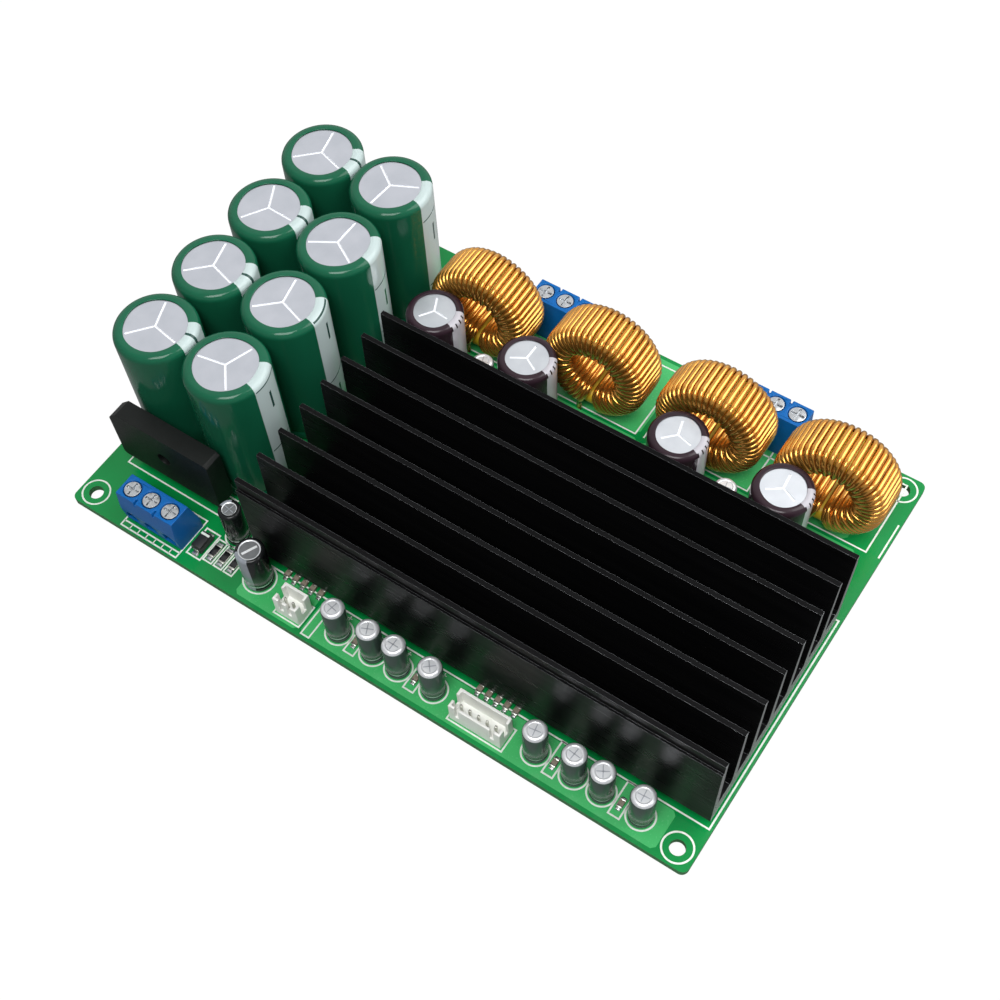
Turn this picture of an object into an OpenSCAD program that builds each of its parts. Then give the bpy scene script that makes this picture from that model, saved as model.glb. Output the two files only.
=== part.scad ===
// Audio amplifier board: two amplifier chips under one comb heatsink, with its power supply,
// output inductors and screw terminals on one circuit board.
// Places on the board are measured from its front left corner, and heights from its upper face.

/* [Circuit board] */
// Length of the board, left to right
board_w = 152; // [150:1:180]
// Depth of the board, front to back
board_d = 100; // [98:1:120]
// Thickness of the board
board_t = 1.6; // [1.2:0.1:2.4]
// Corner radius of the board
board_corner_r = 1.5; // [0.5:0.1:3]
// Diameter of the mounting holes
mount_hole_d = 3.2; // [2.6:0.1:4]
// Distance of the mounting holes from both edges
mount_inset = 3.8; // [3.5:0.1:5]
// Play of a lead in its hole, all round
lead_play = 0.1; // [0.05:0.05:0.2]
// Width of the solder collar round a lead
solder_collar = 0.55; // [0.4:0.05:0.7]
// Height of a solder joint below the board
solder_h = 2; // [1.6:0.1:3]

/* [Heatsink] */
// Distance from the board's front edge to the heatsink
sink_y = 10.3; // [9.8:0.1:12]
// Gap between the filter capacitors and the heatsink
sink_gap = 5.7; // [4:0.1:8]
// Distance from the heatsink's right end to the board's edge
sink_end_gap = 1; // [0.5:0.5:6]
// Depth of the heatsink across its fins
sink_d = 49.8; // [40:0.2:52]
// Height of the heatsink from its base to the fin tips
sink_h = 25.9; // [16:0.1:40]
// Thickness of the heatsink's base
sink_base_t = 5.5; // [5:0.5:8]
// Number of fins
fin_count = 8; // [4:1:10]
// Thickness of a fin at its root
fin_root_t = 1.8; // [1.6:0.1:2.4]
// Thickness of a fin at its tip
fin_tip_t = 1; // [0.6:0.1:1.1]
// Bevel where a fin meets the base
fin_root_bevel = 0.7; // [0.3:0.1:1]
// Depth of the ledge on the two outer fins
fin_ledge = 0.5; // [0.2:0.1:0.6]
// Distance from the fin tips down to the ledge
fin_ledge_drop = 3; // [2:0.5:6]
// Diameter of the screws that hold the heatsink
sink_screw_d = 3; // [2.5:0.5:4]
// Head diameter of those screws
sink_screw_head_d = 5.6; // [5:0.1:7]
// Head height of those screws
sink_screw_head_h = 1.8; // [1.2:0.1:2.4]
// Length of those screws in the heatsink's base
sink_screw_grip = 4; // [3:0.5:4.5]
// Play between those screws and the heatsink, all round
sink_screw_play = 0.05; // [0.02:0.01:0.1]
// Play of those screws in the board's holes, all round
sink_hole_play = 0.2; // [0.1:0.05:0.3]
// Distance of those screws from the heatsink's edges
sink_screw_inset = 7; // [5:0.5:10]

/* [Amplifier chips] */
// Distance from the heatsink's left end to the first amplifier's middle
amp_1_offset = 16; // [15:0.1:17]
// Distance from the board's right edge to the second amplifier's middle
amp_2_inset = 32.7; // [30:0.1:34]
// Length of a chip's body
chip_w = 15.9; // [12:0.1:18]
// Depth of a chip's body
chip_d = 11; // [8:0.1:12]
// Height of a chip on the board
chip_h = 3; // [2.4:0.1:3.6]
// Gap between a chip's body and the board
chip_lift = 0.1; // [0.05:0.05:0.3]
// Number of leads on each side of a chip
chip_leads = 12; // [6:1:12]
// Distance between neighbouring chip leads
chip_lead_pitch = 1; // [0.8:0.1:1.2]
// Width of a chip lead
chip_lead_w = 0.42; // [0.3:0.02:0.5]
// Thickness of a chip lead
chip_lead_t = 0.25; // [0.15:0.05:0.35]
// Reach of a chip lead from the body
chip_lead_reach = 1.7; // [1.2:0.1:2]
// Thickness of the thermal pads
thermal_pad_t = 0.2; // [0.1:0.05:0.5]
// Bare margin of a chip round its thermal pad
thermal_pad_margin = 0.8; // [0.4:0.1:1.5]

/* [Bridge rectifier] */
// Place of the rectifier's left end
bridge_x = 4.5; // [3:0.5:8]
// Distance from the board's front edge to the rectifier
bridge_y = 13.9; // [12:0.1:16]
// Width of the rectifier
bridge_w = 27; // [22:0.5:30]
// Thickness of the rectifier
bridge_t = 4.4; // [3.4:0.1:5]
// Height of the rectifier's body
bridge_h = 15.5; // [12:0.5:20]
// Height of the body above the board
bridge_lift = 3.5; // [2:0.5:5]
// Corner cut that marks the positive lead
bridge_mark = 2.5; // [1.5:0.1:4]
// Bevel along the body's other corners
bridge_bevel = 0.7; // [0.3:0.1:1.2]
// Diameter of the body's screw hole
bridge_hole_d = 3.2; // [2.5:0.1:4]
// Distance between the rectifier's leads
bridge_pitch = 7; // [5:0.5:7.5]
// Width of a rectifier lead
bridge_lead_w = 1.2; // [0.8:0.1:1.6]
// Thickness of a rectifier lead
bridge_lead_t = 0.7; // [0.4:0.1:1]

/* [Capacitors] */
// Diameter of the filter capacitors over their sleeves
filter_d = 17.8; // [16:0.1:19]
// Height of the filter capacitors
filter_h = 36; // [25:0.5:45]
// Number of filter capacitors in a column
filter_rows = 4; // [2:1:4]
// Distance from the board's left edge to the filter capacitors
filter_margin = 2.4; // [1:0.1:4]
// Gap between the two columns of filter capacitors
filter_gap = 0.3; // [0.2:0.1:1]
// Gap between the rows of filter capacitors
filter_row_gap = 0.6; // [0.3:0.1:1]
// Gap between the rectifier and the first row
filter_front_gap = 1; // [0.5:0.1:2]
// Distance between the leads of a filter capacitor
filter_pitch = 7.5; // [5:0.5:10]
// Diameter of a filter capacitor's leads
filter_lead_d = 0.8; // [0.6:0.1:1]
// Diameter of the rail capacitors over their sleeves
rail_d = 12.5; // [10:0.1:13]
// Height of the rail capacitors
rail_h = 20.5; // [16:0.5:25]
// Distance of a rail capacitor from the middle of its group
rail_spread = 11.7; // [10.5:0.1:12.5]
// Gap between the rail capacitors and the inductors
rail_gap = 0.4; // [0.3:0.1:1]
// Distance between the leads of a rail capacitor
rail_pitch = 5; // [3.5:0.5:5.5]
// Diameter of a rail capacitor's leads
rail_lead_d = 0.6; // [0.5:0.1:0.8]
// Diameter of the signal and bypass capacitors
signal_d = 5; // [4:0.1:6]
// Height of the signal and bypass capacitors
signal_h = 11; // [7:0.5:12]
// Distance from the board's front edge to the signal capacitors
signal_y = 5.3; // [4:0.1:6]
// Distance from the input header's middle to the first signal capacitor
signal_first = 12; // [11:0.1:13]
// Distance between the signal capacitors of a pair
signal_pair = 8.6; // [8:0.1:9]
// Distance from one pair to the next
signal_group = 14.8; // [14.6:0.1:15.4]
// Diameter of the large supply capacitor
supply_d = 6.3; // [5:0.1:7]
// Height of the large supply capacitor
supply_h = 12; // [8:0.5:14]
// Distance from the small supply capacitor's middle to the heatsink's left end
supply_small_gap = 6.9; // [5:0.1:7]
// Distance from the board's front edge to the small supply capacitor
supply_small_y = 12; // [11:0.1:13]
// Distance from the heatsink's left end to the large supply capacitor's middle
supply_large_offset = 3.2; // [2:0.1:5]
// Distance from the board's front edge to the large supply capacitor
supply_large_y = 6.3; // [4:0.1:6.6]
// Distance between the leads of the small capacitors
small_pitch = 2; // [1.6:0.1:2.5]
// Diameter of the leads of the small capacitors
small_lead_d = 0.5; // [0.4:0.1:0.6]
// Thickness of a shrink sleeve
sleeve_t = 0.2; // [0.1:0.05:0.3]
// Play between a can and its sleeve
sleeve_play = 0.03; // [0.02:0.01:0.06]
// Radius of a sleeve's rolled edge on the large capacitors
sleeve_edge_r = 1.3; // [0.8:0.1:1.8]
// Width of a sleeve's lip on a can's end
sleeve_lip = 1.9; // [1.9:0.1:2.5]
// Radius of the rolled edge on the small capacitors
small_edge_r = 0.5; // [0.3:0.1:0.8]
// Width of the lip on the small capacitors
small_lip = 0.8; // [0.8:0.1:1.2]
// Depth of a small capacitor's top below its lip
small_recess = 0.15; // [0.1:0.05:0.25]
// Height of the crimped bead above a can's foot
bead_z = 2.6; // [2.2:0.1:4]
// Half width of the bead
bead_half = 0.7; // [0.5:0.1:0.9]
// Depth of the bead in the can
bead_depth = 0.7; // [0.4:0.1:1]
// Dip of the sleeve over the bead
bead_dip = 0.25; // [0.1:0.05:0.35]
// Width of the vent score in a can's top
vent_w = 0.5; // [0.3:0.1:0.8]
// Depth of the vent score
vent_depth = 0.2; // [0.1:0.05:0.4]
// Bare end between the vent score and the sleeve's lip
vent_margin = 0.8; // [0.4:0.1:1.5]
// Turn of the vent on each filter capacitor, left column first, front to rear
filter_vent_turns = [-10, -16, -3, -17, -50, -18, -30, 25]; // [-60:1:60]
// Turn of the vent on each rail capacitor, left to right
rail_vent_turns = [-5, -30, -15, -25]; // [-60:1:60]

/* [Inductors] */
// Outer diameter of a toroid core
core_od = 23.4; // [18:0.1:24.5]
// Inner diameter of a toroid core
core_id = 14; // [11:0.1:16]
// Width of a toroid core along its axis
core_h = 9.2; // [6:0.1:9.8]
// Bevel on the core's edges
core_bevel = 1.3; // [0.8:0.1:2]
// Diameter of the winding wire
wire_d = 0.95; // [0.6:0.05:1.1]
// Gap between the core and the wire
wire_gap = 0.18; // [0.15:0.01:0.3]
// Gap between neighbouring turns inside the core
turn_gap = 0.1; // [0.08:0.01:0.4]
// Angle of the bare stretch of core at the winding's ends
winding_gap_deg = 26; // [20:1:60]
// Gap between a winding and the board
inductor_seat = 0.3; // [0.2:0.1:1]
// Distance from the heatsink's left end to the first inductor's middle
inductor_1_x = 9.2; // [9:0.1:11]
// Distance from the heatsink's left end to the second inductor's middle
inductor_2_x = 38.6; // [37:0.1:39]
// Distance from the heatsink's left end to the third inductor's middle
inductor_3_x = 65.9; // [65.4:0.1:66.4]
// Distance from the heatsink's left end to the fourth inductor's middle
inductor_4_x = 93.3; // [93:0.1:95]
// Distance from the board's rear edge to the inductors' middle
inductor_inset = 17; // [16.6:0.1:20]

/* [Screw terminals] */
// Distance between terminal poles
pole_pitch = 5.08; // [5:0.01:5.5]
// Number of poles of the AC terminal
ac_poles = 3; // [2:1:3]
// Number of poles of a speaker terminal
speaker_poles = 4; // [2:1:4]
// Place of the AC terminal's middle
ac_x = 21.4; // [16:0.1:22]
// Place of the first speaker terminal's middle
speaker_1_x = 68.3; // [66:0.1:72]
// Place of the second speaker terminal's middle
speaker_2_x = 115.3; // [112:0.1:125]
// Distance from the board's edge to a terminal's face
terminal_edge_gap = 2.2; // [0.5:0.1:2.4]
// Depth of a terminal
terminal_d = 7.6; // [7.4:0.1:8.2]
// Depth of a terminal at its top
terminal_top_d = 5.4; // [5.2:0.1:5.6]
// Slope of a terminal's face at its top
terminal_face_lean = 0.5; // [0.2:0.1:0.6]
// Height of the widest line of a terminal's face
terminal_brow_z = 4.8; // [4.6:0.1:6]
// Height of a terminal's upright rear wall
terminal_rear_z = 3.4; // [2:0.1:4]
// Wall between neighbouring poles
pole_wall = 1.1; // [1:0.1:1.4]
// Distance from a terminal's face to its screws
pole_screw_y = 3.1; // [3:0.05:3.2]
// Width of a wire entry
wire_entry_w = 3.2; // [2.4:0.1:3.4]
// Height of the sill below a wire entry
wire_entry_z = 1.1; // [0.8:0.1:1.3]
// Height of the space for a wire in an open clamp
wire_space = 2.4; // [1.6:0.1:3]
// Gap between an open clamp and the board
clamp_lift = 0.5; // [0.3:0.1:0.8]
// Thickness of a clamp's floor
clamp_floor_t = 0.8; // [0.5:0.1:1]
// Thickness of a clamp's threaded top
clamp_top_t = 1.1; // [0.8:0.1:1.4]
// Length of a clamp along the wire
clamp_l = 3.6; // [2.8:0.1:3.7]
// Play between a clamp and what it slides in
clamp_play = 0.2; // [0.15:0.05:0.25]
// Width of a contact bar
contact_w = 1.8; // [1.4:0.1:2]
// Thickness of a contact bar
contact_t = 0.7; // [0.5:0.1:1]
// Width of a contact's solder leg
contact_leg_w = 1; // [0.8:0.1:1.2]
// Thickness of a contact's solder leg
contact_leg_t = 0.8; // [0.5:0.1:0.8]
// Gap between a clamp and its contact's solder leg
contact_leg_gap = 0.4; // [0.3:0.1:0.5]
// Diameter of a terminal screw's thread
pole_screw_d = 2.5; // [2:0.1:2.6]
// Diameter of a terminal screw's head
pole_head_d = 3.6; // [3.2:0.1:3.7]
// Height of a terminal screw's head
pole_head_h = 1.1; // [0.9:0.1:1.6]
// Depth of a terminal screw's head below the housing's top
pole_head_drop = 0.1; // [0.05:0.05:0.5]
// Thickness of the ledge under a screw head
pole_roof_t = 0.6; // [0.5:0.1:1]
// Play round a terminal screw's head and thread in the housing
pole_play = 0.25; // [0.2:0.05:0.3]
// Room beside a terminal screw in its clamp's window
window_play = 0.15; // [0.1:0.05:0.2]
// Running play of a clamp on its screw, all round
thread_play = 0.05; // [0.02:0.01:0.1]
// Gap between a screw and the faces it bears on
bearing_play = 0.05; // [0.03:0.01:0.1]
// Width of the cross slots in a terminal screw
cross_w = 0.5; // [0.4:0.1:0.8]
// Depth of the cross slots
cross_depth = 0.6; // [0.4:0.1:0.8]
// Width of the notches between poles on a terminal's top
notch_w = 0.5; // [0.3:0.1:0.7]
// Length of those notches
notch_l = 1.6; // [1:0.1:2]
// Depth of those notches
notch_depth = 1.2; // [0.6:0.1:2]

/* [Pin headers] */
// Distance between header pins
pin_pitch = 2; // [2:0.1:2.5]
// Number of input pins
input_pins = 5; // [3:1:5]
// Number of fan pins
fan_pins = 2; // [2:1:3]
// Distance from the heatsink's left end to the input header's middle
input_offset = 60; // [58:0.1:62]
// Distance from the heatsink's left end to the fan header's middle
fan_offset = 13.9; // [13:0.1:15]
// Distance from the board's front edge to the headers
header_y = 2.1; // [1:0.1:3]
// Depth of a header
header_d = 4.5; // [4.3:0.1:5]
// Height of a header
header_h = 6; // [5:0.1:7]
// Spare length of a header beyond its pins' pitch
header_spare = 1.9; // [1.6:0.1:2.4]
// Thickness of a header's walls
header_wall = 0.6; // [0.4:0.1:0.7]
// Thickness of a header's floor
header_floor = 1.4; // [1:0.1:2]
// Width of the notches in a header's face
header_notch_w = 1; // [0.8:0.1:1.2]
// Width of the slots in a header's ends
header_slot_w = 1.4; // [1:0.1:1.8]
// Height of the sill below notches and slots
header_sill = 2.2; // [2:0.1:3]
// Distance from a header's face to its pins
pin_y = 1.7; // [1.5:0.1:2]
// Thickness of a square pin
pin_t = 0.5; // [0.4:0.05:0.64]
// Height of the pins above the board
pin_h = 5.2; // [4:0.1:5.5]
// Play of a pin in its header's floor
pin_play = 0.05; // [0.02:0.01:0.1]

/* [Surface-mount parts] */
// Place of the diode's middle
diode_x = 31.9; // [31.5:0.1:32.2]
// Distance from the board's front edge to the diode and resistors
aux_y = 6.3; // [5:0.1:7]
// Width of the diode
diode_w = 2.6; // [2:0.1:2.8]
// Length of the diode's body
diode_l = 4.3; // [3.5:0.1:5]
// Height of the diode
diode_h = 2.1; // [1.6:0.1:2.6]
// Width of the diode's leads
diode_lead_w = 1.5; // [1:0.1:1.9]
// Place of the first chip resistor
resistor_x = 35.2; // [35:0.1:35.4]
// Distance between chip resistors
resistor_step = 2.75; // [2.4:0.05:3]
// Number of chip resistors
resistor_count = 3; // [1:1:3]
// Length of a chip resistor
resistor_l = 3.2; // [2:0.1:3.4]
// Width of a chip resistor
resistor_w = 1.6; // [1.2:0.1:1.8]
// Height of a chip resistor
resistor_h = 0.6; // [0.4:0.05:0.8]
// Length of a chip ceramic
ceramic_l = 2; // [1.6:0.1:2.4]
// Width of a chip ceramic
ceramic_w = 1.25; // [0.8:0.05:1.4]
// Height of a chip ceramic
ceramic_h = 0.9; // [0.6:0.05:1.2]
// Distance between chip ceramics
ceramic_step = 2.15; // [1.8:0.05:2.4]
// Number of chip ceramics in a row at the heatsink's front
ceramic_count = 5; // [2:1:5]
// Length of a chip's metal ends
chip_end_l = 0.45; // [0.3:0.05:0.6]
// Step of a chip's body below its metal ends
chip_end_step = 0.05; // [0.03:0.01:0.1]

/* [Hidden] */
$fn = 64;
// Spare length of a cut past the face it opens
cut = 1;
// Number of straight steps in a rounded profile corner
arc_steps = 6;
// Sides of the winding wire
wire_sides = 5;

board_z = max(solder_h, sink_screw_head_h);
board_top = board_z + board_t;

// Columns and rows on the board
filter_x0 = filter_margin + filter_d / 2;
filter_y0 = bridge_y + bridge_t + filter_front_gap + filter_d / 2;
sink_x = filter_margin + 2 * filter_d + filter_gap + sink_gap;
sink_w = board_w - sink_end_gap - sink_x;
sink_z = chip_h + thermal_pad_t;
sink_mid_y = sink_y + sink_d / 2;
fin_pitch = (sink_d - fin_root_t) / (fin_count - 1);
amp_mid = [sink_x + amp_1_offset, board_w - amp_2_inset];
input_x = sink_x + input_offset;
fan_x = sink_x + fan_offset;
supply_spots = [[sink_x - supply_small_gap, supply_small_y], [sink_x + supply_large_offset, supply_large_y]];

// Windings
wire_off = wire_gap + wire_d / 2;
wound_r = core_od / 2 + wire_off + wire_d / 2;
wound_half = core_h / 2 + wire_off + wire_d / 2;
inductor_y = board_d - inductor_inset;
inductor_z = wound_r + inductor_seat;
path_bevel = core_bevel + wire_off * (2 - sqrt(2));
path_in = core_id / 2 - wire_off;
path_out = core_od / 2 + wire_off;
path_side = core_h / 2 + wire_off;
turn_path = [
    [path_out - path_bevel, path_side],
    [path_in + path_bevel, path_side],
    [path_in, path_side - path_bevel],
    [path_in, path_bevel - path_side],
    [path_in + path_bevel, -path_side],
    [path_out - path_bevel, -path_side],
    [path_out, path_bevel - path_side],
    [path_out, path_side - path_bevel]
];
turn_points = len(turn_path);
// Points of the last turn, which ends on the front face
last_points = 6;
turn_arc = PI * 2 * path_in * (360 - winding_gap_deg) / 360;
turns = floor(turn_arc / (wire_d + turn_gap));
wound_points = (turns - 1) * turn_points + last_points;
point_deg = (360 - winding_gap_deg) / (wound_points - 1);
start_deg = winding_gap_deg / 2 - 90;

rail_y = inductor_y - wound_half - rail_gap - rail_d / 2;
filter_spots = [for (c = [0:1], r = [0:filter_rows - 1])
    [filter_x0 + c * (filter_d + filter_gap), filter_y0 + r * (filter_d + filter_row_gap)]];
rail_spots = [for (x = amp_mid, s = [-1, 1]) [x + s * rail_spread, rail_y]];
bypass_spots = [for (x = amp_mid) [x, rail_y]];
signal_spots = [for (s = [-1, 1], g = [0, 1], k = [0, 1])
    [input_x + s * (signal_first + g * signal_group + k * signal_pair), signal_y]];
inductor_x = [inductor_1_x, inductor_2_x, inductor_3_x, inductor_4_x];
inductor_spots = [for (x = inductor_x) [sink_x + x, inductor_y]];
inductor_count = len(inductor_spots);

// Terminal heights, from the board up
clamp_w = pole_pitch - pole_wall - 2 * clamp_play;
contact_z = clamp_lift + clamp_floor_t + wire_space;
contact_top = contact_z + contact_t;
clamp_travel = wire_space - clamp_play;
clamp_window_top = contact_top + clamp_play;
clamp_top = clamp_window_top + clamp_top_t;
pole_roof_z = clamp_top + clamp_travel + pole_play;
pole_ledge_z = pole_roof_z + pole_roof_t;
pole_head_z = pole_ledge_z + bearing_play;
terminal_h = pole_head_z + pole_head_h + pole_head_drop;
clamp_y0 = pole_screw_y - clamp_l / 2;
clamp_y1 = pole_screw_y + clamp_l / 2;
contact_leg_y = clamp_y1 + contact_leg_gap;
contact_leg_mid = contact_leg_y + contact_leg_t / 2;
terminal_profile = [
    [terminal_face_lean, 0],
    [0, terminal_brow_z],
    [terminal_face_lean, terminal_h],
    [terminal_face_lean + terminal_top_d, terminal_h],
    [terminal_d, terminal_rear_z],
    [terminal_d, 0]
];
header_pin_y = header_y + pin_y;

// Leads through the board: place and largest radius
contact_leg_r = norm([contact_leg_w, contact_leg_t]) / 2;
bridge_lead_r = norm([bridge_lead_w, bridge_lead_t]) / 2;
pin_r = pin_t / sqrt(2);
winding_lead = path_out - path_bevel;
leads = concat(
    [for (p = filter_spots) each lead_pair(p, filter_pitch, filter_lead_d)],
    [for (p = rail_spots) each lead_pair(p, rail_pitch, rail_lead_d)],
    [for (p = concat(signal_spots, bypass_spots, supply_spots)) each lead_pair(p, small_pitch, small_lead_d)],
    [for (k = [0:3]) [bridge_lead_x(k), bridge_y + bridge_t / 2, bridge_lead_r]],
    [for (i = [0:ac_poles - 1])
        [ac_x + pole_x(ac_poles, i), terminal_edge_gap + contact_leg_mid, contact_leg_r]],
    [for (x = [speaker_1_x, speaker_2_x], i = [0:speaker_poles - 1])
        [x + pole_x(speaker_poles, i), board_d - terminal_edge_gap - contact_leg_mid, contact_leg_r]],
    [for (i = [0:input_pins - 1]) [input_x + pin_x(input_pins, i), header_pin_y, pin_r]],
    [for (i = [0:fan_pins - 1]) [fan_x + pin_x(fan_pins, i), header_pin_y, pin_r]],
    [for (p = inductor_spots, s = [-1, 1])
        [p[0] + s * winding_lead * cos(start_deg), p[1] + s * path_side, wire_d / 2]]
);
sink_screws = [for (x = [sink_screw_inset, sink_w - sink_screw_inset])
    for (y = [sink_screw_inset, sink_d - sink_screw_inset]) [sink_x + x, sink_y + y]];

function pole_x(poles, i) = (i - (poles - 1) / 2) * pole_pitch;
function pin_x(pins, i) = (i - (pins - 1) / 2) * pin_pitch;
function bridge_lead_x(k) = bridge_x + bridge_w / 2 + (k - 1.5) * bridge_pitch;
function lead_pair(p, pitch, d) = [for (s = [-1, 1]) [p[0] + s * pitch / 2, p[1], d / 2]];
function arc(x, z, r, from, to) = [for (k = [0:arc_steps])
    let (a = from + (to - from) * k / arc_steps) [x + r * cos(a), z + r * sin(a)]];
function bead(r, depth) = [[r, bead_z - bead_half], [r - depth, bead_z], [r, bead_z + bead_half]];
function reversed(list) = [for (k = [len(list) - 1:-1:0]) list[k]];

// Outline of one side of a can: rolled foot, bead and rolled top edge
function can_side(r, foot, top, edge, depth) = concat(
    arc(r - edge, foot + edge, edge, -90, 0), bead(r, depth), arc(r - edge, top - edge, edge, 0, 90));

// Places on the board
module on_board(p, z = 0) {
    translate([p[0] - board_w / 2, p[1] - board_d / 2, board_top + z]) children();
}

// Solid with the given outline in Y and Z, centred on X
module across(w, outline) {
    rotate([90, 0, 90]) linear_extrude(w, center = true) polygon(outline);
}

module at_ac_terminal(i) {
    on_board([ac_x + pole_x(ac_poles, i), terminal_edge_gap]) children();
}

// Poles 0 to 3 lie in the first speaker terminal, the rest in the second
module at_speaker_terminal(i) {
    x = i < speaker_poles ? speaker_1_x : speaker_2_x;
    on_board([x + pole_x(speaker_poles, i % speaker_poles), board_d - terminal_edge_gap])
        rotate(180) children();
}

module circuit_board() {
    r = board_corner_r;
    color("#14773c") difference() {
        translate([-board_w / 2, -board_d / 2, board_z]) union() {
            translate([r, 0, 0]) cube([board_w - 2 * r, board_d, board_t]);
            translate([0, r, 0]) cube([board_w, board_d - 2 * r, board_t]);
            for (x = [r, board_w - r], y = [r, board_d - r])
                translate([x, y, 0]) cylinder(r = r, h = board_t);
        }
        for (x = [mount_inset, board_w - mount_inset], y = [mount_inset, board_d - mount_inset])
            board_hole([x, y], mount_hole_d / 2);
        for (p = sink_screws)
            board_hole(p, sink_screw_d / 2 + sink_hole_play);
        for (p = leads)
            board_hole(p, p[2] + lead_play);
    }
}

module board_hole(p, r) {
    on_board(p, -board_t - cut) cylinder(r = r, h = board_t + 2 * cut);
}

// Solder cones with the trimmed lead tips, below the board
module solder_joints() {
    color("#c4c8cc")
        for (p = leads)
            on_board(p, -board_t - solder_h)
                cylinder(r1 = p[2] + lead_play, r2 = p[2] + solder_collar, h = solder_h);
}

// Outline of the comb extrusion, in Y and Z from its front lower corner
function fin_outline(i) =
    let (mid = fin_root_t / 2 + i * fin_pitch, first = i == 0, last = i == fin_count - 1,
         tip_0 = first ? fin_ledge : last ? sink_d - fin_ledge - fin_tip_t : mid - fin_tip_t / 2,
         root_0 = mid - fin_root_t / 2, root_1 = mid + fin_root_t / 2, floor_z = sink_base_t)
    concat(
        first ? [[0, sink_h - fin_ledge_drop], [fin_ledge, sink_h - fin_ledge_drop]]
              : [[root_0 - fin_root_bevel, floor_z], [root_0, floor_z + fin_root_bevel]],
        [[tip_0, sink_h], [tip_0 + fin_tip_t, sink_h]],
        last ? [[sink_d - fin_ledge, sink_h - fin_ledge_drop], [sink_d, sink_h - fin_ledge_drop]]
             : [[root_1, floor_z + fin_root_bevel], [root_1 + fin_root_bevel, floor_z]]);

module heatsink() {
    outline = concat([[0, 0]], [for (i = [0:fin_count - 1]) each fin_outline(i)], [[sink_d, 0]]);
    color("#17181a") difference() {
        on_board([sink_x + sink_w / 2, sink_y], sink_z) across(sink_w, outline);
        for (p = sink_screws)
            on_board(p, sink_z - cut)
                cylinder(r = sink_screw_d / 2 + sink_screw_play, h = cut + sink_screw_grip + sink_hole_play);
    }
}

module heatsink_screws() {
    color("#b9bcc0")
        for (p = sink_screws) {
            on_board(p, -board_t) cylinder(d = sink_screw_d, h = board_t + sink_z + sink_screw_grip);
            on_board(p, -board_t - sink_screw_head_h) difference() {
                cylinder(d = sink_screw_head_d, h = sink_screw_head_h);
                cross_slots(sink_screw_head_d / 2, -cut, cut + cross_depth);
            }
        }
}

// Two crossed slots of a screw head, cut from z upwards
module cross_slots(l, z, h) {
    for (a = [0, 90])
        rotate(a) translate([-l / 2, -cross_w / 2, z]) cube([l, cross_w, h]);
}

module amplifier_chip(k) {
    shoulder = (chip_h + chip_lift) / 2;
    t = chip_lead_t;
    outline = [
        [-t, shoulder - t], [-t, shoulder], [chip_lead_reach / 3, shoulder], [chip_lead_reach / 2, t],
        [chip_lead_reach, t], [chip_lead_reach, 0], [chip_lead_reach / 2 - t, 0],
        [chip_lead_reach / 3 - t, shoulder - t]
    ];
    color("#202124") on_board([amp_mid[k], sink_mid_y]) {
        translate([-chip_w / 2, -chip_d / 2, chip_lift]) cube([chip_w, chip_d, chip_h - chip_lift]);
        for (turn = [0, 180], i = [0:chip_leads - 1])
            rotate(turn) translate([(i - (chip_leads - 1) / 2) * chip_lead_pitch, chip_d / 2, 0])
                across(chip_lead_w, outline);
    }
}

module thermal_pad(k) {
    w = chip_w - 2 * thermal_pad_margin;
    d = chip_d - 2 * thermal_pad_margin;
    color("#9aa3a8") on_board([amp_mid[k] - w / 2, sink_mid_y - d / 2], chip_h) cube([w, d, thermal_pad_t]);
}

// Flat moulded body with a cut corner and a screw hole, standing on four leads
module bridge_rectifier() {
    b = bridge_bevel;
    m = bridge_mark;
    color("#1b1c1d") on_board([bridge_x, bridge_y]) {
        difference() {
            translate([0, bridge_t, bridge_lift]) rotate([90, 0, 0]) linear_extrude(bridge_t) polygon([
                [b, 0], [bridge_w - b, 0], [bridge_w, b], [bridge_w, bridge_h - b], [bridge_w - b, bridge_h],
                [m, bridge_h], [0, bridge_h - m], [0, b]
            ]);
            translate([bridge_w / 2, -cut, bridge_lift + bridge_h / 2]) rotate([-90, 0, 0])
                cylinder(d = bridge_hole_d, h = bridge_t + 2 * cut);
        }
        for (k = [0:3])
            translate([bridge_lead_x(k) - bridge_x, bridge_t / 2, -board_t])
                translate([-bridge_lead_w / 2, -bridge_lead_t / 2, 0])
                    cube([bridge_lead_w, bridge_lead_t, board_t + bridge_lift + cut]);
    }
}

// Aluminium can with its bead, vent score and leads
module can(d, h, vent_turn, pitch, lead_d) {
    inset = sleeve_t + sleeve_play;
    r = d / 2 - inset;
    top = h - inset;
    vent_l = d / 2 - sleeve_lip - vent_margin;
    difference() {
        union() {
            rotate_extrude() polygon(concat(
                [[0, inset]], can_side(r, inset, top, sleeve_edge_r - inset, bead_depth), [[0, top]]));
            lead_wires(pitch, lead_d, inset + cut);
        }
        rotate(vent_turn) vent(3, vent_l, top);
    }
}

// Score lines that meet in the middle of a can's top
module vent(arms, l, top) {
    for (k = [0:arms - 1])
        rotate(k * 360 / arms) translate([0, -vent_w / 2, top - vent_depth])
            cube([l, vent_w, vent_depth + cut]);
}

module lead_wires(pitch, d, h) {
    for (s = [-1, 1])
        translate([s * pitch / 2, 0, -board_t]) cylinder(d = d, h = board_t + h);
}

// Shrink sleeve, rolled over both ends of a can
module sleeve(d, h) {
    r = d / 2;
    t = sleeve_t;
    lip = r - sleeve_lip;
    rotate_extrude() polygon(concat(
        [[lip, 0]], can_side(r, 0, h, sleeve_edge_r, bead_dip), [[lip, h]],
        [[lip, h - t]], reversed(can_side(r - t, t, h - t, sleeve_edge_r - t, bead_dip)), [[lip, t]]));
}

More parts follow.
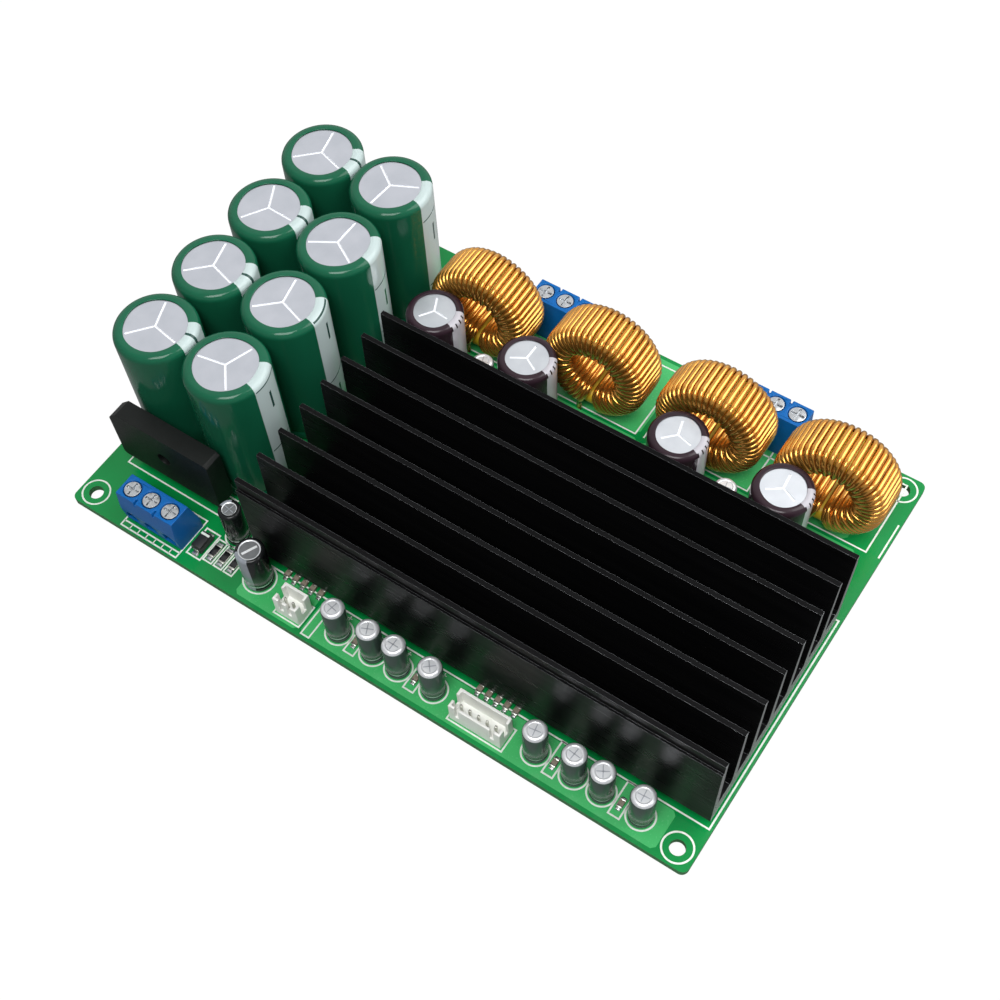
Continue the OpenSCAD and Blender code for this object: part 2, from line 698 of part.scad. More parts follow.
// Small sleeved capacitor, with its can's top set below the lip
module small_capacitor(d, h) {
    r = d / 2;
    lip = r - small_lip;
    top = h - small_recess;
    difference() {
        union() {
            rotate_extrude() polygon(concat(
                [[0, 0]], can_side(r, 0, h, small_edge_r, bead_dip), [[lip, h], [lip, top], [0, top]]));
            lead_wires(small_pitch, small_lead_d, cut);
        }
        vent(4, lip - vent_w, top);
    }
}

module filter_capacitors() {
    color("#b9bcc0")
        for (i = [0:len(filter_spots) - 1])
            on_board(filter_spots[i])
                can(filter_d, filter_h, filter_vent_turns[i], filter_pitch, filter_lead_d);
}

module filter_sleeves() {
    color("#0b4a33") for (p = filter_spots) on_board(p) sleeve(filter_d, filter_h);
}

module rail_capacitors() {
    color("#c3c5c8")
        for (i = [0:len(rail_spots) - 1])
            on_board(rail_spots[i]) can(rail_d, rail_h, rail_vent_turns[i], rail_pitch, rail_lead_d);
}

module rail_sleeves() {
    color("#3a2523") for (p = rail_spots) on_board(p) sleeve(rail_d, rail_h);
}

module signal_capacitors() {
    color("#4a5a50") for (p = signal_spots) on_board(p) small_capacitor(signal_d, signal_h);
}

module bypass_capacitors() {
    color("#3a2523") for (p = bypass_spots) on_board(p) small_capacitor(signal_d, signal_h);
}

module supply_capacitors() {
    color("#1b1d22") {
        on_board(supply_spots[0]) small_capacitor(signal_d, signal_h);
        on_board(supply_spots[1]) small_capacitor(supply_d, supply_h);
    }
}

// Places an upright toroid with its axis from front to back
module at_inductor(k) {
    on_board(inductor_spots[k], inductor_z) children();
}

module inductor_core(k) {
    r0 = core_id / 2;
    r1 = core_od / 2;
    h = core_h / 2;
    b = core_bevel;
    color("#c9a52b") at_inductor(k) rotate([90, 0, 0]) rotate_extrude() polygon([
        [r0, b - h], [r0 + b, -h], [r1 - b, -h], [r1, b - h],
        [r1, h - b], [r1 - b, h], [r0 + b, h], [r0, h - b]
    ]);
}

// Route of the winding wire: up from the board, turn after turn round the core, and down again
function wire_deg(k) = start_deg + k * point_deg;
function wire_point(k) =
    let (q = turn_path[k % turn_points], a = wire_deg(k)) [q[0] * cos(a), q[1], q[0] * sin(a)];
function lead_end(p) = [p[0], p[1], -inductor_z - board_t];
wire_route = concat(
    [lead_end(wire_point(0))],
    [for (k = [0:wound_points - 1]) wire_point(k)],
    [lead_end(wire_point(wound_points - 1))]);
wire_last = len(wire_route) - 1;

function unit(v) = v / norm(v);
function wire_heading(k) =
    let (before = k == 0 ? [0, 0, 0] : unit(wire_route[k] - wire_route[k - 1]),
         after = k == wire_last ? [0, 0, 0] : unit(wire_route[k + 1] - wire_route[k]))
    unit(before + after);

// One ring of the wire's skin, square to its heading and turned with the core
function wire_ring(k) =
    let (t = wire_heading(k),
         a = wire_deg(min(max(k - 1, 0), wound_points - 1)),
         round_core = [-sin(a), 0, cos(a)],
         u = unit(round_core - t * (round_core * t)),
         v = cross(t, u))
    [for (j = [0:wire_sides - 1])
        wire_route[k] + wire_d / 2 * (cos(j * 360 / wire_sides) * u + sin(j * 360 / wire_sides) * v)];

module inductor_winding(k) {
    n = wire_sides;
    skin = [for (i = [0:wire_last - 1], j = [0:n - 1], half = [0, 1])
        let (a = i * n + j, b = a + n, c = (i + 1) * n + (j + 1) % n, d = i * n + (j + 1) % n)
        half == 0 ? [a, b, c] : [a, c, d]];
    ends = [[for (j = [0:n - 1]) j], [for (j = [n - 1:-1:0]) wire_last * n + j]];
    color("#c07a2c") at_inductor(k)
        polyhedron([for (i = [0:wire_last]) each wire_ring(i)], concat(skin, ends));
}

// Shrouded header, open at the top, with notches in its face and slots in its ends
module header(pins) {
    w = pins * pin_pitch + header_spare;
    inner_w = w - 2 * header_wall;
    inner_d = header_d - 2 * header_wall;
    hole = pin_t + 2 * pin_play;
    color("#e9e6da") difference() {
        translate([-w / 2, 0, 0]) cube([w, header_d, header_h]);
        translate([-inner_w / 2, header_wall, header_floor]) cube([inner_w, inner_d, header_h]);
        for (s = [-1, 1]) {
            translate([s * (w / 2 - header_spare) - header_notch_w / 2, -cut, header_sill])
                cube([header_notch_w, header_wall + 2 * cut, header_h]);
            translate([s * w / 2 - header_wall - cut, (header_d - header_slot_w) / 2, header_sill])
                cube([2 * header_wall + 2 * cut, header_slot_w, header_h]);
        }
        for (i = [0:pins - 1])
            translate([pin_x(pins, i) - hole / 2, pin_y - hole / 2, -cut])
                cube([hole, hole, header_floor + 2 * cut]);
    }
}

module header_pins(pins) {
    color("#c9ccd0")
        for (i = [0:pins - 1])
            translate([pin_x(pins, i) - pin_t / 2, pin_y - pin_t / 2, -board_t])
                cube([pin_t, pin_t, board_t + pin_h]);
}

module at_input() {
    on_board([input_x, header_y]) children();
}

module at_fan() {
    on_board([fan_x, header_y]) children();
}

// Moulded diode with drafted ends, and leads folded under it
module diode() {
    half = diode_l / 2;
    lead_t = chip_lead_t;
    draft = lead_t / 2;
    color("#1b1c1d") on_board([diode_x, aux_y]) {
        across(diode_w, [
            [-half, lead_t], [half, lead_t], [half + draft, diode_h / 2], [half, diode_h],
            [-half, diode_h], [-half - draft, diode_h / 2]
        ]);
        for (turn = [0, 180])
            rotate(turn) across(diode_lead_w, [
                [half / 2, 0], [half + 2 * lead_t, 0], [half + 2 * lead_t, diode_h / 2], [half, diode_h / 2],
                [half, lead_t], [half / 2, lead_t]
            ]);
    }
}

// Chip with metal ends, lying from front to back
module chip_part(l, w, h) {
    s = chip_end_step;
    translate([s - w / 2, chip_end_l - l / 2 - s, s])
        cube([w - 2 * s, l - 2 * chip_end_l + 2 * s, h - 2 * s]);
    for (y = [-l / 2, l / 2 - chip_end_l])
        translate([-w / 2, y, 0]) cube([w, chip_end_l, h]);
}

module chip_resistors() {
    color("#26282b")
        for (i = [0:resistor_count - 1])
            on_board([resistor_x + i * resistor_step, aux_y]) chip_part(resistor_l, resistor_w, resistor_h);
}

// One chip between each pair of signal capacitors, and a row for each amplifier at the heatsink's front
module chip_ceramics() {
    pair_mid = [for (s = [-1, 1], g = [0, 1])
        input_x + s * (signal_first + g * signal_group + signal_pair / 2)];
    row_mid = [fan_x - header_spare, input_x];
    color("#b59a72") {
        for (x = pair_mid)
            on_board([x, signal_y]) chip_part(ceramic_l, ceramic_w, ceramic_h);
        for (x = row_mid, i = [0:ceramic_count - 1])
            on_board([x + (i - (ceramic_count - 1) / 2) * ceramic_step, sink_y])
                chip_part(ceramic_l, ceramic_w, ceramic_h);
    }
}

// Moulded terminal block: wire entries in its face, a screw well and a clamp chamber for each pole
module terminal_block(poles) {
    w = poles * pole_pitch;
    chamber_w = clamp_w + 2 * clamp_play;
    chamber_y = clamp_y0 - clamp_play;
    leg_room = contact_leg_y + contact_leg_t + clamp_play - chamber_y;
    arch_r = wire_entry_w / 2;
    color("#1c4fa3") difference() {
        across(w, terminal_profile);
        for (i = [0:poles - 1])
            translate([pole_x(poles, i), 0, 0]) {
                translate([-chamber_w / 2, chamber_y, -cut])
                    cube([chamber_w, clamp_l + 2 * clamp_play, cut + pole_roof_z]);
                translate([-chamber_w / 2, chamber_y, -cut])
                    cube([chamber_w, leg_room, cut + clamp_window_top]);
                translate([0, pole_screw_y, 0]) cylinder(d = pole_screw_d + 2 * pole_play, h = terminal_h);
                translate([0, pole_screw_y, pole_ledge_z])
                    cylinder(d = pole_head_d + 2 * pole_play, h = terminal_h);
                translate([-arch_r, -cut, wire_entry_z])
                    cube([wire_entry_w, chamber_y + 2 * cut, contact_top - arch_r - wire_entry_z]);
                translate([0, -cut, contact_top - arch_r]) rotate([-90, 0, 0])
                    cylinder(r = arch_r, h = chamber_y + 2 * cut);
            }
        for (i = [1:poles - 1])
            translate([pole_x(poles, i) - (pole_pitch + notch_w) / 2, -cut, terminal_h - notch_depth])
                cube([notch_w, cut + notch_l, notch_depth + cut]);
    }
}

module ac_terminal() {
    on_board([ac_x, terminal_edge_gap]) terminal_block(ac_poles);
}

module speaker_terminal(x) {
    on_board([x, board_d - terminal_edge_gap]) rotate(180) terminal_block(speaker_poles);
}

// Contact bar through the clamp, bent down behind it to the solder leg
module contact() {
    bar_l = contact_leg_y + contact_leg_t - clamp_y0;
    translate([-contact_w / 2, clamp_y0, contact_z]) cube([contact_w, bar_l, contact_t]);
    translate([-contact_leg_w / 2, contact_leg_y, -board_t])
        cube([contact_leg_w, contact_leg_t, board_t + contact_z + contact_t]);
}

module terminal_contacts() {
    color("#c8b070") {
        for (i = [0:ac_poles - 1])
            at_ac_terminal(i) contact();
        for (i = [0:2 * speaker_poles - 1])
            at_speaker_terminal(i) contact();
    }
}

// Captive screw: its head turns on the ledge and its tip on the contact bar
module pole_screw() {
    tip_z = contact_top + bearing_play;
    color("#cfd2d6") translate([0, pole_screw_y, 0]) difference() {
        union() {
            translate([0, 0, tip_z]) cylinder(d = pole_screw_d, h = pole_head_z - tip_z);
            translate([0, 0, pole_head_z]) cylinder(d = pole_head_d, h = pole_head_h);
        }
        cross_slots(pole_head_d - cross_w, pole_head_z + pole_head_h - cross_depth, cross_depth + cut);
    }
}

// Rising cage, threaded on the screw, that draws the wire up to the contact bar
module pole_clamp() {
    window_w = pole_screw_d + 2 * window_play;
    window_z = clamp_lift + clamp_floor_t;
    color("#b9bcc0") difference() {
        translate([-clamp_w / 2, clamp_y0, clamp_lift]) cube([clamp_w, clamp_l, clamp_top - clamp_lift]);
        translate([-window_w / 2, clamp_y0 - cut, window_z])
            cube([window_w, clamp_l + 2 * cut, clamp_window_top - window_z]);
        translate([0, pole_screw_y, clamp_window_top - cut])
            cylinder(r = pole_screw_d / 2 + thread_play, h = clamp_top_t + 2 * cut);
    }
}

circuit_board();
solder_joints();
heatsink();
heatsink_screws();
for (k = [0:1]) amplifier_chip(k);
for (k = [0:1]) thermal_pad(k);
bridge_rectifier();
filter_capacitors();
filter_sleeves();
rail_capacitors();
rail_sleeves();
signal_capacitors();
bypass_capacitors();
supply_capacitors();
for (k = [0:inductor_count - 1])
    inductor_core(k);
for (k = [0:inductor_count - 1])
    inductor_winding(k);
at_input() header(input_pins);  // input_header
at_input() header_pins(input_pins);
at_fan() header(fan_pins);  // fan_header
at_fan() header_pins(fan_pins);
diode();
chip_resistors();
chip_ceramics();
ac_terminal();
speaker_terminal(speaker_1_x);  // speaker_terminal_1
speaker_terminal(speaker_2_x);  // speaker_terminal_2
terminal_contacts();
for (i = [0:ac_poles - 1])
    at_ac_terminal(i) pole_screw();
for (i = [0:ac_poles - 1])
    at_ac_terminal(i) pole_clamp();
for (i = [0:2 * speaker_poles - 1])
    at_speaker_terminal(i) pole_screw();
for (i = [0:2 * speaker_poles - 1])
    at_speaker_terminal(i) pole_clamp();
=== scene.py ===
"""Looks of an audio amplifier board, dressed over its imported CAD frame.

Sizes are millimetres on the board: x from its left edge, y from its front edge, z from its top face.
Blender itself works in metres, in the axes of the frame.
"""

import logging
import math
import random
from dataclasses import dataclass, field
from enum import Enum
from typing import Any, Sequence

import bmesh
import bpy
from mathutils import Matrix, Vector


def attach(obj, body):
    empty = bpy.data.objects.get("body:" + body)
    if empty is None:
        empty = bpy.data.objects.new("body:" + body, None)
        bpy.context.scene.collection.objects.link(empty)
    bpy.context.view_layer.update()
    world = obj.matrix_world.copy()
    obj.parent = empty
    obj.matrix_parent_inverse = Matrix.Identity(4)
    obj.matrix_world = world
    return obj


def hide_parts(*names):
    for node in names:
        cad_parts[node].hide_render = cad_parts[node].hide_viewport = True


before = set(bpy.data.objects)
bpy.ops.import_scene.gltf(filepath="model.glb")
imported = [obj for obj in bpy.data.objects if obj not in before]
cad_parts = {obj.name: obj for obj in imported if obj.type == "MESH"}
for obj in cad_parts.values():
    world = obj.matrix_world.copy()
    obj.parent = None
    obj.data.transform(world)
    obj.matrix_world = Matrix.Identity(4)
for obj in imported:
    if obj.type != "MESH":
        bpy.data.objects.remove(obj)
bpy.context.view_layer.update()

LOG = logging.getLogger("amplifier_board")
MM = 0.001
BOARD_W = 152.0
BOARD_D = 100.0
BOARD_TOP = 3.6
# Blender's wave texture runs through one period in 2 pi / 20 of its unit.
WAVE = math.tau / 20
# Most of a noise texture lies between these two values.
NOISE_SPAN = {"From Min": 0.3, "From Max": 0.7}
# A finish with at least this share of metal keeps Blender's own IOR.
METAL_FROM = 0.5
# A mix node takes its share at input 0, numbers at 2 and 3, and colours at 6 and 7, with output 2.
SHARE, NUMBER_A, NUMBER_B, COLOUR_A, COLOUR_B, COLOUR = 0, 2, 3, 6, 7, 2
# Rounded shoulders are drawn as this many points, so many degrees apart.
ROUND_POINTS, ROUND_STEP = 7, 15
# A sharp corner's mitre is divided by no less than this, so that it doesn't run far out.
MITRE_LEAST = 0.3
# Edge radii have this many faces across.
EDGE_SEGMENTS = 2
# CAD corners closer than this, in millimetres, are one, and edges from this angle on are rounded.
WELD_WITHIN, ROUNDED_FROM = 0.001, 32
Point = tuple[float, float]
Box = tuple[float, float, float, float]
Triple = tuple[float, float, float]


class Slot(Enum):
    """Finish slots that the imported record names."""

    SOLDER_MASK = "solder_mask_green"
    CAN = "can_aluminium"
    SLEEVE_GREEN = "sleeve_green"
    SLEEVE_BROWN = "sleeve_brown"
    SLEEVE_DARK = "sleeve_dark"
    COPPER = "copper_enamel"
    CORE = "core_yellow"
    SOLDER = "solder"
    CHIP_BLACK = "chip_black"
    CHIP_TAN = "chip_tan"


class Axis(Enum):
    """Axes that a finish can sort its faces or heights by."""

    X = "X"
    Y = "Y"
    Z = "Z"


@dataclass(frozen=True)
class Layout:
    """Where parts stand on the board, for the parts and for the legend round them."""

    filter_x: tuple[float, ...] = (11.3, 29.4)
    filter_y: float = 28.2
    filter_step: float = 18.4
    filter_rows: int = 4
    signal_x: tuple[float, ...] = (68.6, 77.2, 83.4, 92.0, 116.0, 124.6, 130.8, 139.4)
    signal_y: float = 5.3
    rail_x: tuple[float, ...] = (48.3, 71.7, 107.6, 131.0)
    bypass_x: tuple[float, ...] = (60.0, 119.3)
    rail_y: float = 70.62
    supply: tuple[Point, Point] = ((37.1, 12.0), (47.2, 6.3))
    inductor_x: tuple[float, ...] = (53.2, 82.6, 109.9, 137.3)
    front_ceramic_x: tuple[float, ...] = (72.9, 87.7, 120.3, 135.1)


LAYOUT = Layout()


def linear(code: str) -> tuple[float, float, float, float]:
    """Turn an sRGB hex colour into linear RGBA.

    Args:
        code: Colour as "#RRGGBB".

    Returns:
        Linear red, green and blue with an alpha of 1.
    """
    parts = [int(code[i : i + 2], 16) / 255 for i in (1, 3, 5)]
    red, green, blue = (p / 12.92 if p <= 0.04045 else ((p + 0.055) / 1.055) ** 2.4 for p in parts)
    return red, green, blue, 1.0


def per_mm(size: float) -> float:
    """Texture scale at which one feature is about size millimetres across."""
    return 1.0 / (size * MM)


def on_board(x: float, y: float, z: float = 0.0) -> Vector:
    """Point of the frame, in metres, from millimetres on the board."""
    return Vector(((x - BOARD_W / 2) * MM, (y - BOARD_D / 2) * MM, (z + BOARD_TOP) * MM))


def rounded(radius: float, top: float, edge: float) -> list[Point]:
    """Quarter circle that leads from a round wall to its flat end.

    Args:
        radius: Radius of the wall.
        top: Height of the end.
        edge: Radius of the quarter circle.

    Returns:
        Radius and height of its points, from the wall up.
    """
    turns = [math.radians(ROUND_STEP * i) for i in range(ROUND_POINTS)]
    return [(radius - edge * (1 - math.cos(t)), top - edge * (1 - math.sin(t))) for t in turns]


def add_node(
    tree: bpy.types.NodeTree,
    kind: str,
    inputs: dict[Any, Any] | None = None,
    out: int | str = 0,
    **settings: Any,
) -> Any:
    """Add a shader node with its settings, values and links.

    Args:
        tree: Node tree of the material or world.
        kind: Blender's name for the node type, without the ShaderNode in front.
        inputs: Input values, or sockets to link from, by input name or number.
        out: Name or number of the output to hand back.
        **settings: Properties of the node by name.

    Returns:
        That output of the new node, or the node itself where it has none.
    """
    made = tree.nodes.new("ShaderNode" + kind)
    for name, value in settings.items():
        setattr(made, name, value)
    for key, value in (inputs or {}).items():
        if isinstance(value, bpy.types.NodeSocket):
            tree.links.new(value, made.inputs[key])
        else:
            made.inputs[key].default_value = value
    return made.outputs[out] if len(made.outputs) else made


@dataclass
class Look:
    """Sockets that a finish hands to its shader."""

    place: Any
    colour: Any
    roughness: Any
    height: Any
    metallic: Any = None


@dataclass(frozen=True)
class Finish:
    """A surface made once and shared by every piece that wears it.

    A slow cloud mixes two tones of the colour, and a fine grain gives roughness and bump.
    """

    name: str
    colour: str
    shade: str
    roughness: float
    metallic: float = 0.0
    ior: float = 1.5
    spread: float = 0.05
    cloud: float = 6.0
    cloud_detail: float = 3.0
    grain: float = 0.4
    grain_detail: float = 2.0
    depth: float = 0.004
    stretch: Triple = (1.0, 1.0, 1.0)
    coat: float = 0.0
    coat_roughness: float = 0.08

    def material(self) -> bpy.types.Material:
        """The material of this finish, made at its first use."""
        found = bpy.data.materials.get(self.name)
        return found or self.make()

    def make(self) -> bpy.types.Material:
        """Build the node tree.

        Returns:
            The new material.
        """
        made = bpy.data.materials.new(self.name)
        made.use_nodes = True
        tree = made.node_tree
        tree.nodes.clear()
        shader = add_node(tree, "BsdfPrincipled", {"Metallic": self.metallic})
        sockets = shader.node.inputs
        if self.metallic < METAL_FROM:
            sockets["IOR"].default_value = self.ior
        if self.coat:
            sockets["Coat Weight"].default_value = self.coat
            sockets["Coat Roughness"].default_value = self.coat_roughness
        add_node(tree, "OutputMaterial", {"Surface": shader})
        place = add_node(tree, "TexCoord", out="Object")
        drawn = add_node(tree, "Mapping", {"Vector": place, "Scale": self.stretch})
        cloud, grain = (
            add_node(tree, "TexNoise", {"Vector": drawn, "Scale": per_mm(size), "Detail": detail})
            for size, detail in ((self.cloud, self.cloud_detail), (self.grain, self.grain_detail))
        )
        tone = add_node(tree, "MapRange", {"Value": cloud, **NOISE_SPAN})
        tones = {SHARE: tone, COLOUR_A: linear(self.colour), COLOUR_B: linear(self.shade)}
        mixed = add_node(tree, "Mix", tones, COLOUR, data_type="RGBA")
        span = {"To Min": self.roughness - self.spread, "To Max": self.roughness + self.spread}
        rough = add_node(tree, "MapRange", {"Value": grain, **NOISE_SPAN, **span})
        look = Look(place, mixed, rough, grain)
        self.detail(tree, look)
        relief = {"Strength": 1.0, "Distance": self.depth * MM, "Height": look.height}
        bump = add_node(tree, "Bump", relief)
        links = {"Base Color": look.colour, "Roughness": look.roughness, "Normal": bump}
        if look.metallic is not None:
            links["Metallic"] = look.metallic
        for name, socket in links.items():
            tree.links.new(socket, sockets[name])
        return made

    def detail(self, tree: bpy.types.NodeTree, look: Look) -> None:
        """Add what only this finish has; plain finishes have nothing.

        Args:
            tree: Node tree of the material.
            look: Sockets so far, which a finish may replace.
        """


@dataclass(frozen=True)
class SolderMask(Finish):
    """Glossy epoxy mask over woven glass laminate, cut edges bare.

    The weave shows as a faint quilting of the gloss; the routed edge is dull and paler.
    """

    edge: str = "#3F7A4A"
    edge_dull: float = 0.35
    flat_from: float = 0.5
    # A real weave is about 0.5 mm; it is drawn at 0.9 mm so that the render can show it.
    weave: float = 0.9
    wander: float = 0.6
    wander_scale: float = 0.4

    def detail(self, tree: bpy.types.NodeTree, look: Look) -> None:
        """Quilt the flat faces and bare the edges.

        Args:
            tree: Node tree of the material.
            look: Sockets so far; height, colour and roughness are replaced.
        """
        normal = add_node(tree, "NewGeometry", out="Normal")
        up = add_node(tree, "SeparateXYZ", {0: normal}, "Z")
        level = add_node(tree, "Math", {0: up}, operation="ABSOLUTE")
        face = add_node(tree, "Math", {0: level, 1: self.flat_from}, operation="GREATER_THAN")
        thread = {"Vector": look.place, "Scale": WAVE * per_mm(self.weave)}
        thread |= {"Distortion": self.wander, "Detail Scale": self.wander_scale}
        warp, weft = (
            add_node(tree, "TexWave", thread, "Fac", bands_direction=axis.value)
            for axis in (Axis.X, Axis.Y)
        )
        weave = add_node(tree, "Math", {0: warp, 1: weft}, operation="MULTIPLY")
        look.height = add_node(tree, "Math", {0: look.height, 1: weave}, operation="ADD")
        tones = {SHARE: face, COLOUR_A: linear(self.edge), COLOUR_B: look.colour}
        look.colour = add_node(tree, "Mix", tones, COLOUR, data_type="RGBA")
        dull = add_node(tree, "MapRange", {"Value": face, "To Min": self.edge_dull, "To Max": 0.0})
        look.roughness = add_node(tree, "Math", {0: look.roughness, 1: dull}, operation="ADD")


@dataclass(frozen=True)
class BlackAnodise(Finish):
    """Extruded aluminium, anodised black in bars and sawn to length after.

    Die lines run along the bar; the sawn ends are bare metal with saw marks.
    """

    bare: str = "#8E9194"
    saw_shade: str = "#707477"
    saw_mark: float = 0.7
    saw_wander: float = 3.0
    saw_detail: float = 2.0
    end_from: float = 0.9

    def detail(self, tree: bpy.types.NodeTree, look: Look) -> None:
        """Bare the sawn ends and mark them.

        Args:
            tree: Node tree of the material.
            look: Sockets so far; colour, height and metallic are replaced.
        """
        normal = add_node(tree, "NewGeometry", out="Normal")
        side = add_node(tree, "SeparateXYZ", {0: normal}, "X")
        facing = add_node(tree, "Math", {0: side}, operation="ABSOLUTE")
        sawn = add_node(tree, "Math", {0: facing, 1: self.end_from}, operation="GREATER_THAN")
        grooves = {"Vector": look.place, "Scale": WAVE * per_mm(self.saw_mark)}
        grooves |= {"Distortion": self.saw_wander, "Detail": self.saw_detail}
        marks = add_node(tree, "TexWave", grooves, "Fac", bands_direction=Axis.Y.value)
        tones = {SHARE: marks, COLOUR_A: linear(self.bare), COLOUR_B: linear(self.saw_shade)}
        cut = add_node(tree, "Mix", tones, COLOUR, data_type="RGBA")
        tones = {SHARE: sawn, COLOUR_A: look.colour, COLOUR_B: cut}
        look.colour = add_node(tree, "Mix", tones, COLOUR, data_type="RGBA")
        look.height = add_node(tree, "Mix", {SHARE: sawn, NUMBER_A: look.height, NUMBER_B: marks})
        look.metallic = sawn


@dataclass(frozen=True)
class ScoredCan(Finish):
    """Drawn aluminium can whose vent is scored into its end.

    The polished end is a soft grey mirror; the score lines' walls are painted white, a painted highlight
    for the light they catch.
    """

    end_z: float = 39.37
    # Painted highlight: the white of the score lines' walls.
    score: str = "#EEF0F4"
    score_highlight_below: float = 0.06
    score_highlight_metallic: float = 0.2

    def detail(self, tree: bpy.types.NodeTree, look: Look) -> None:
        """Paint a highlight: whiten what lies below the end face, which only the score lines show.

        Args:
            tree: Node tree of the material.
            look: Sockets so far; colour and metallic are replaced.
        """
        height = add_node(tree, "SeparateXYZ", {0: look.place}, "Z")
        floor = (self.end_z - self.score_highlight_below) * MM
        below = add_node(tree, "Math", {0: height, 1: floor}, operation="LESS_THAN")
        tones = {SHARE: below, COLOUR_A: look.colour, COLOUR_B: linear(self.score)}
        look.colour = add_node(tree, "Mix", tones, COLOUR, data_type="RGBA")
        metal = {"Value": below, "To Min": 1.0, "To Max": self.score_highlight_metallic}
        look.metallic = add_node(tree, "MapRange", metal)


@dataclass(frozen=True)
class Package(Finish):
    """Transfer-moulded black epoxy with tinned leads beyond its body.

    The body is matt with a fine sandy grain; whatever reaches past it is bright metal.
    """

    axis: Axis = Axis.Z
    middle: float = 0.0
    reach: float = 10.0
    tin: str = "#C9CBC6"

    def detail(self, tree: bpy.types.NodeTree, look: Look) -> None:
        """Tin what lies further than reach from the middle of the body.

        Args:
            tree: Node tree of the material.
            look: Sockets so far; colour and metallic are replaced.
        """
        along = add_node(tree, "SeparateXYZ", {0: look.place}, self.axis.value)
        off = add_node(tree, "Math", {0: along, 1: self.middle * MM}, operation="SUBTRACT")
        far = add_node(tree, "Math", {0: off}, operation="ABSOLUTE")
        lead = add_node(tree, "Math", {0: far, 1: self.reach * MM}, operation="GREATER_THAN")
        tones = {SHARE: lead, COLOUR_A: look.colour, COLOUR_B: linear(self.tin)}
        look.colour = add_node(tree, "Mix", tones, COLOUR, data_type="RGBA")
        look.metallic = lead


@dataclass(frozen=True)
class Sleeve(Finish):
    """Heat-shrunk PVC film, printed with one pale stripe and polarity dashes.

    Film pulled tight over the can is glossy with long, faint ripples.
    """

    stripe: str = "#C9D6D6"
    mark: str = "#2B4A44"
    half_angle: float = 24.5
    # The stripe's edge fades from this share of its half angle on.
    crisp: float = 0.97
    height: float = 36.0
    period: float = 10.0
    # Where a mark sits in its period, its half height and its half width, as shares.
    marks: tuple[Triple, ...] = ((0.16, 0.018, 0.92), (0.58, 0.11, 0.13))
    # Ticks across the stripe below the rim: how many, their width as a share, their place and half height.
    rim_ticks: int = 0
    tick_share: float = 0.3
    tick_down: float = 0.8
    tick_half: float = 0.55

    def detail(self, tree: bpy.types.NodeTree, look: Look) -> None:
        """Print the stripe and its dashes by turn (u) and height (v).

        Args:
            tree: Node tree of the material.
            look: Sockets so far; colour is replaced.
        """
        chart = add_node(tree, "UVMap", uv_map="UVMap")
        parts = add_node(tree, "SeparateXYZ", {0: chart}).node.outputs
        off = add_node(tree, "Math", {0: parts["X"], 1: 0.5}, operation="SUBTRACT")
        turn = add_node(tree, "Math", {0: off}, operation="ABSOLUTE")
        half = self.half_angle / 360
        fade = {"Value": turn, "From Min": half, "From Max": half * self.crisp}
        band = add_node(tree, "MapRange", {**fade, "To Min": 0.0, "To Max": 1.0})
        down = add_node(tree, "Math", {0: 1.0, 1: parts["Y"]}, operation="SUBTRACT")
        beat = add_node(tree, "Math", {0: down, 1: self.height / self.period}, operation="MULTIPLY")
        step = add_node(tree, "Math", {0: beat}, operation="FRACT")
        dash: Any = 0.0
        for where, width, reach in self.marks:
            close = add_node(tree, "Math", {0: step, 1: where, 2: width}, operation="COMPARE")
            within = add_node(tree, "Math", {0: turn, 1: half * reach}, operation="LESS_THAN")
            both = add_node(tree, "Math", {0: close, 1: within}, operation="MULTIPLY")
            dash = add_node(tree, "Math", {0: dash, 1: both}, operation="MAXIMUM")
        if self.rim_ticks:
            spread = self.rim_ticks / (2 * half)
            beat = add_node(tree, "Math", {0: off, 1: spread}, operation="MULTIPLY")
            turned = add_node(tree, "Math", {0: beat}, operation="FRACT")
            tick = add_node(tree, "Math", {0: turned, 1: self.tick_share}, operation="LESS_THAN")
            span = {0: down, 1: self.tick_down / self.height, 2: self.tick_half / self.height}
            rim = add_node(tree, "Math", span, operation="COMPARE")
            both = add_node(tree, "Math", {0: tick, 1: rim}, operation="MULTIPLY")
            dash = add_node(tree, "Math", {0: dash, 1: both}, operation="MAXIMUM")
        tones = {SHARE: dash, COLOUR_A: linear(self.stripe), COLOUR_B: linear(self.mark)}
        printed = add_node(tree, "Mix", tones, COLOUR, data_type="RGBA")
        tones = {SHARE: band, COLOUR_A: look.colour, COLOUR_B: printed}
        look.colour = add_node(tree, "Mix", tones, COLOUR, data_type="RGBA")


# Epoxy mask, screen-printed and cured: wet gloss, a saturated green with slightly bluer clouds.
MASK = SolderMask(
    "solder_mask_on_laminate", "#03843D", "#068C44", 0.22, ior=1.36, cloud=18.0, grain=0.5, depth=0.002
)
# The same mask over copper: the metal below lifts it to a lighter, yellower green.
POUR = SolderMask(
    "solder_mask_over_copper", "#40B264", "#47B86B", 0.24, ior=1.42, cloud=14.0, grain=0.5, depth=0.002
)
# Screen-printed epoxy legend ink: flat white, slightly broken where the screen mesh let go.
INK = Finish("legend_ink", "#EEF3EC", "#D5E2D6", 0.55, cloud=0.8, grain=0.3, depth=0.003)
# Extruded, black anodised aluminium: satin black that mirrors softly along the bar.
ANODISE = BlackAnodise(
    "anodised_extrusion", "#0B0B0C", "#111112", 0.3,
    ior=1.14, cloud=3.0, grain=0.8, depth=0.0012, stretch=(0.03, 1.0, 1.0),
)
# Painted highlight on the extrusion's edges: grey metal on the bevel faces stands in for the light that
# the edges catch.
EDGE_HIGHLIGHT_PAINT = Finish(
    "anodised_edge_painted_highlight", "#96989B", "#7F8184", 0.32, metallic=0.9, cloud=2.0, grain=0.5, depth=0.001
)
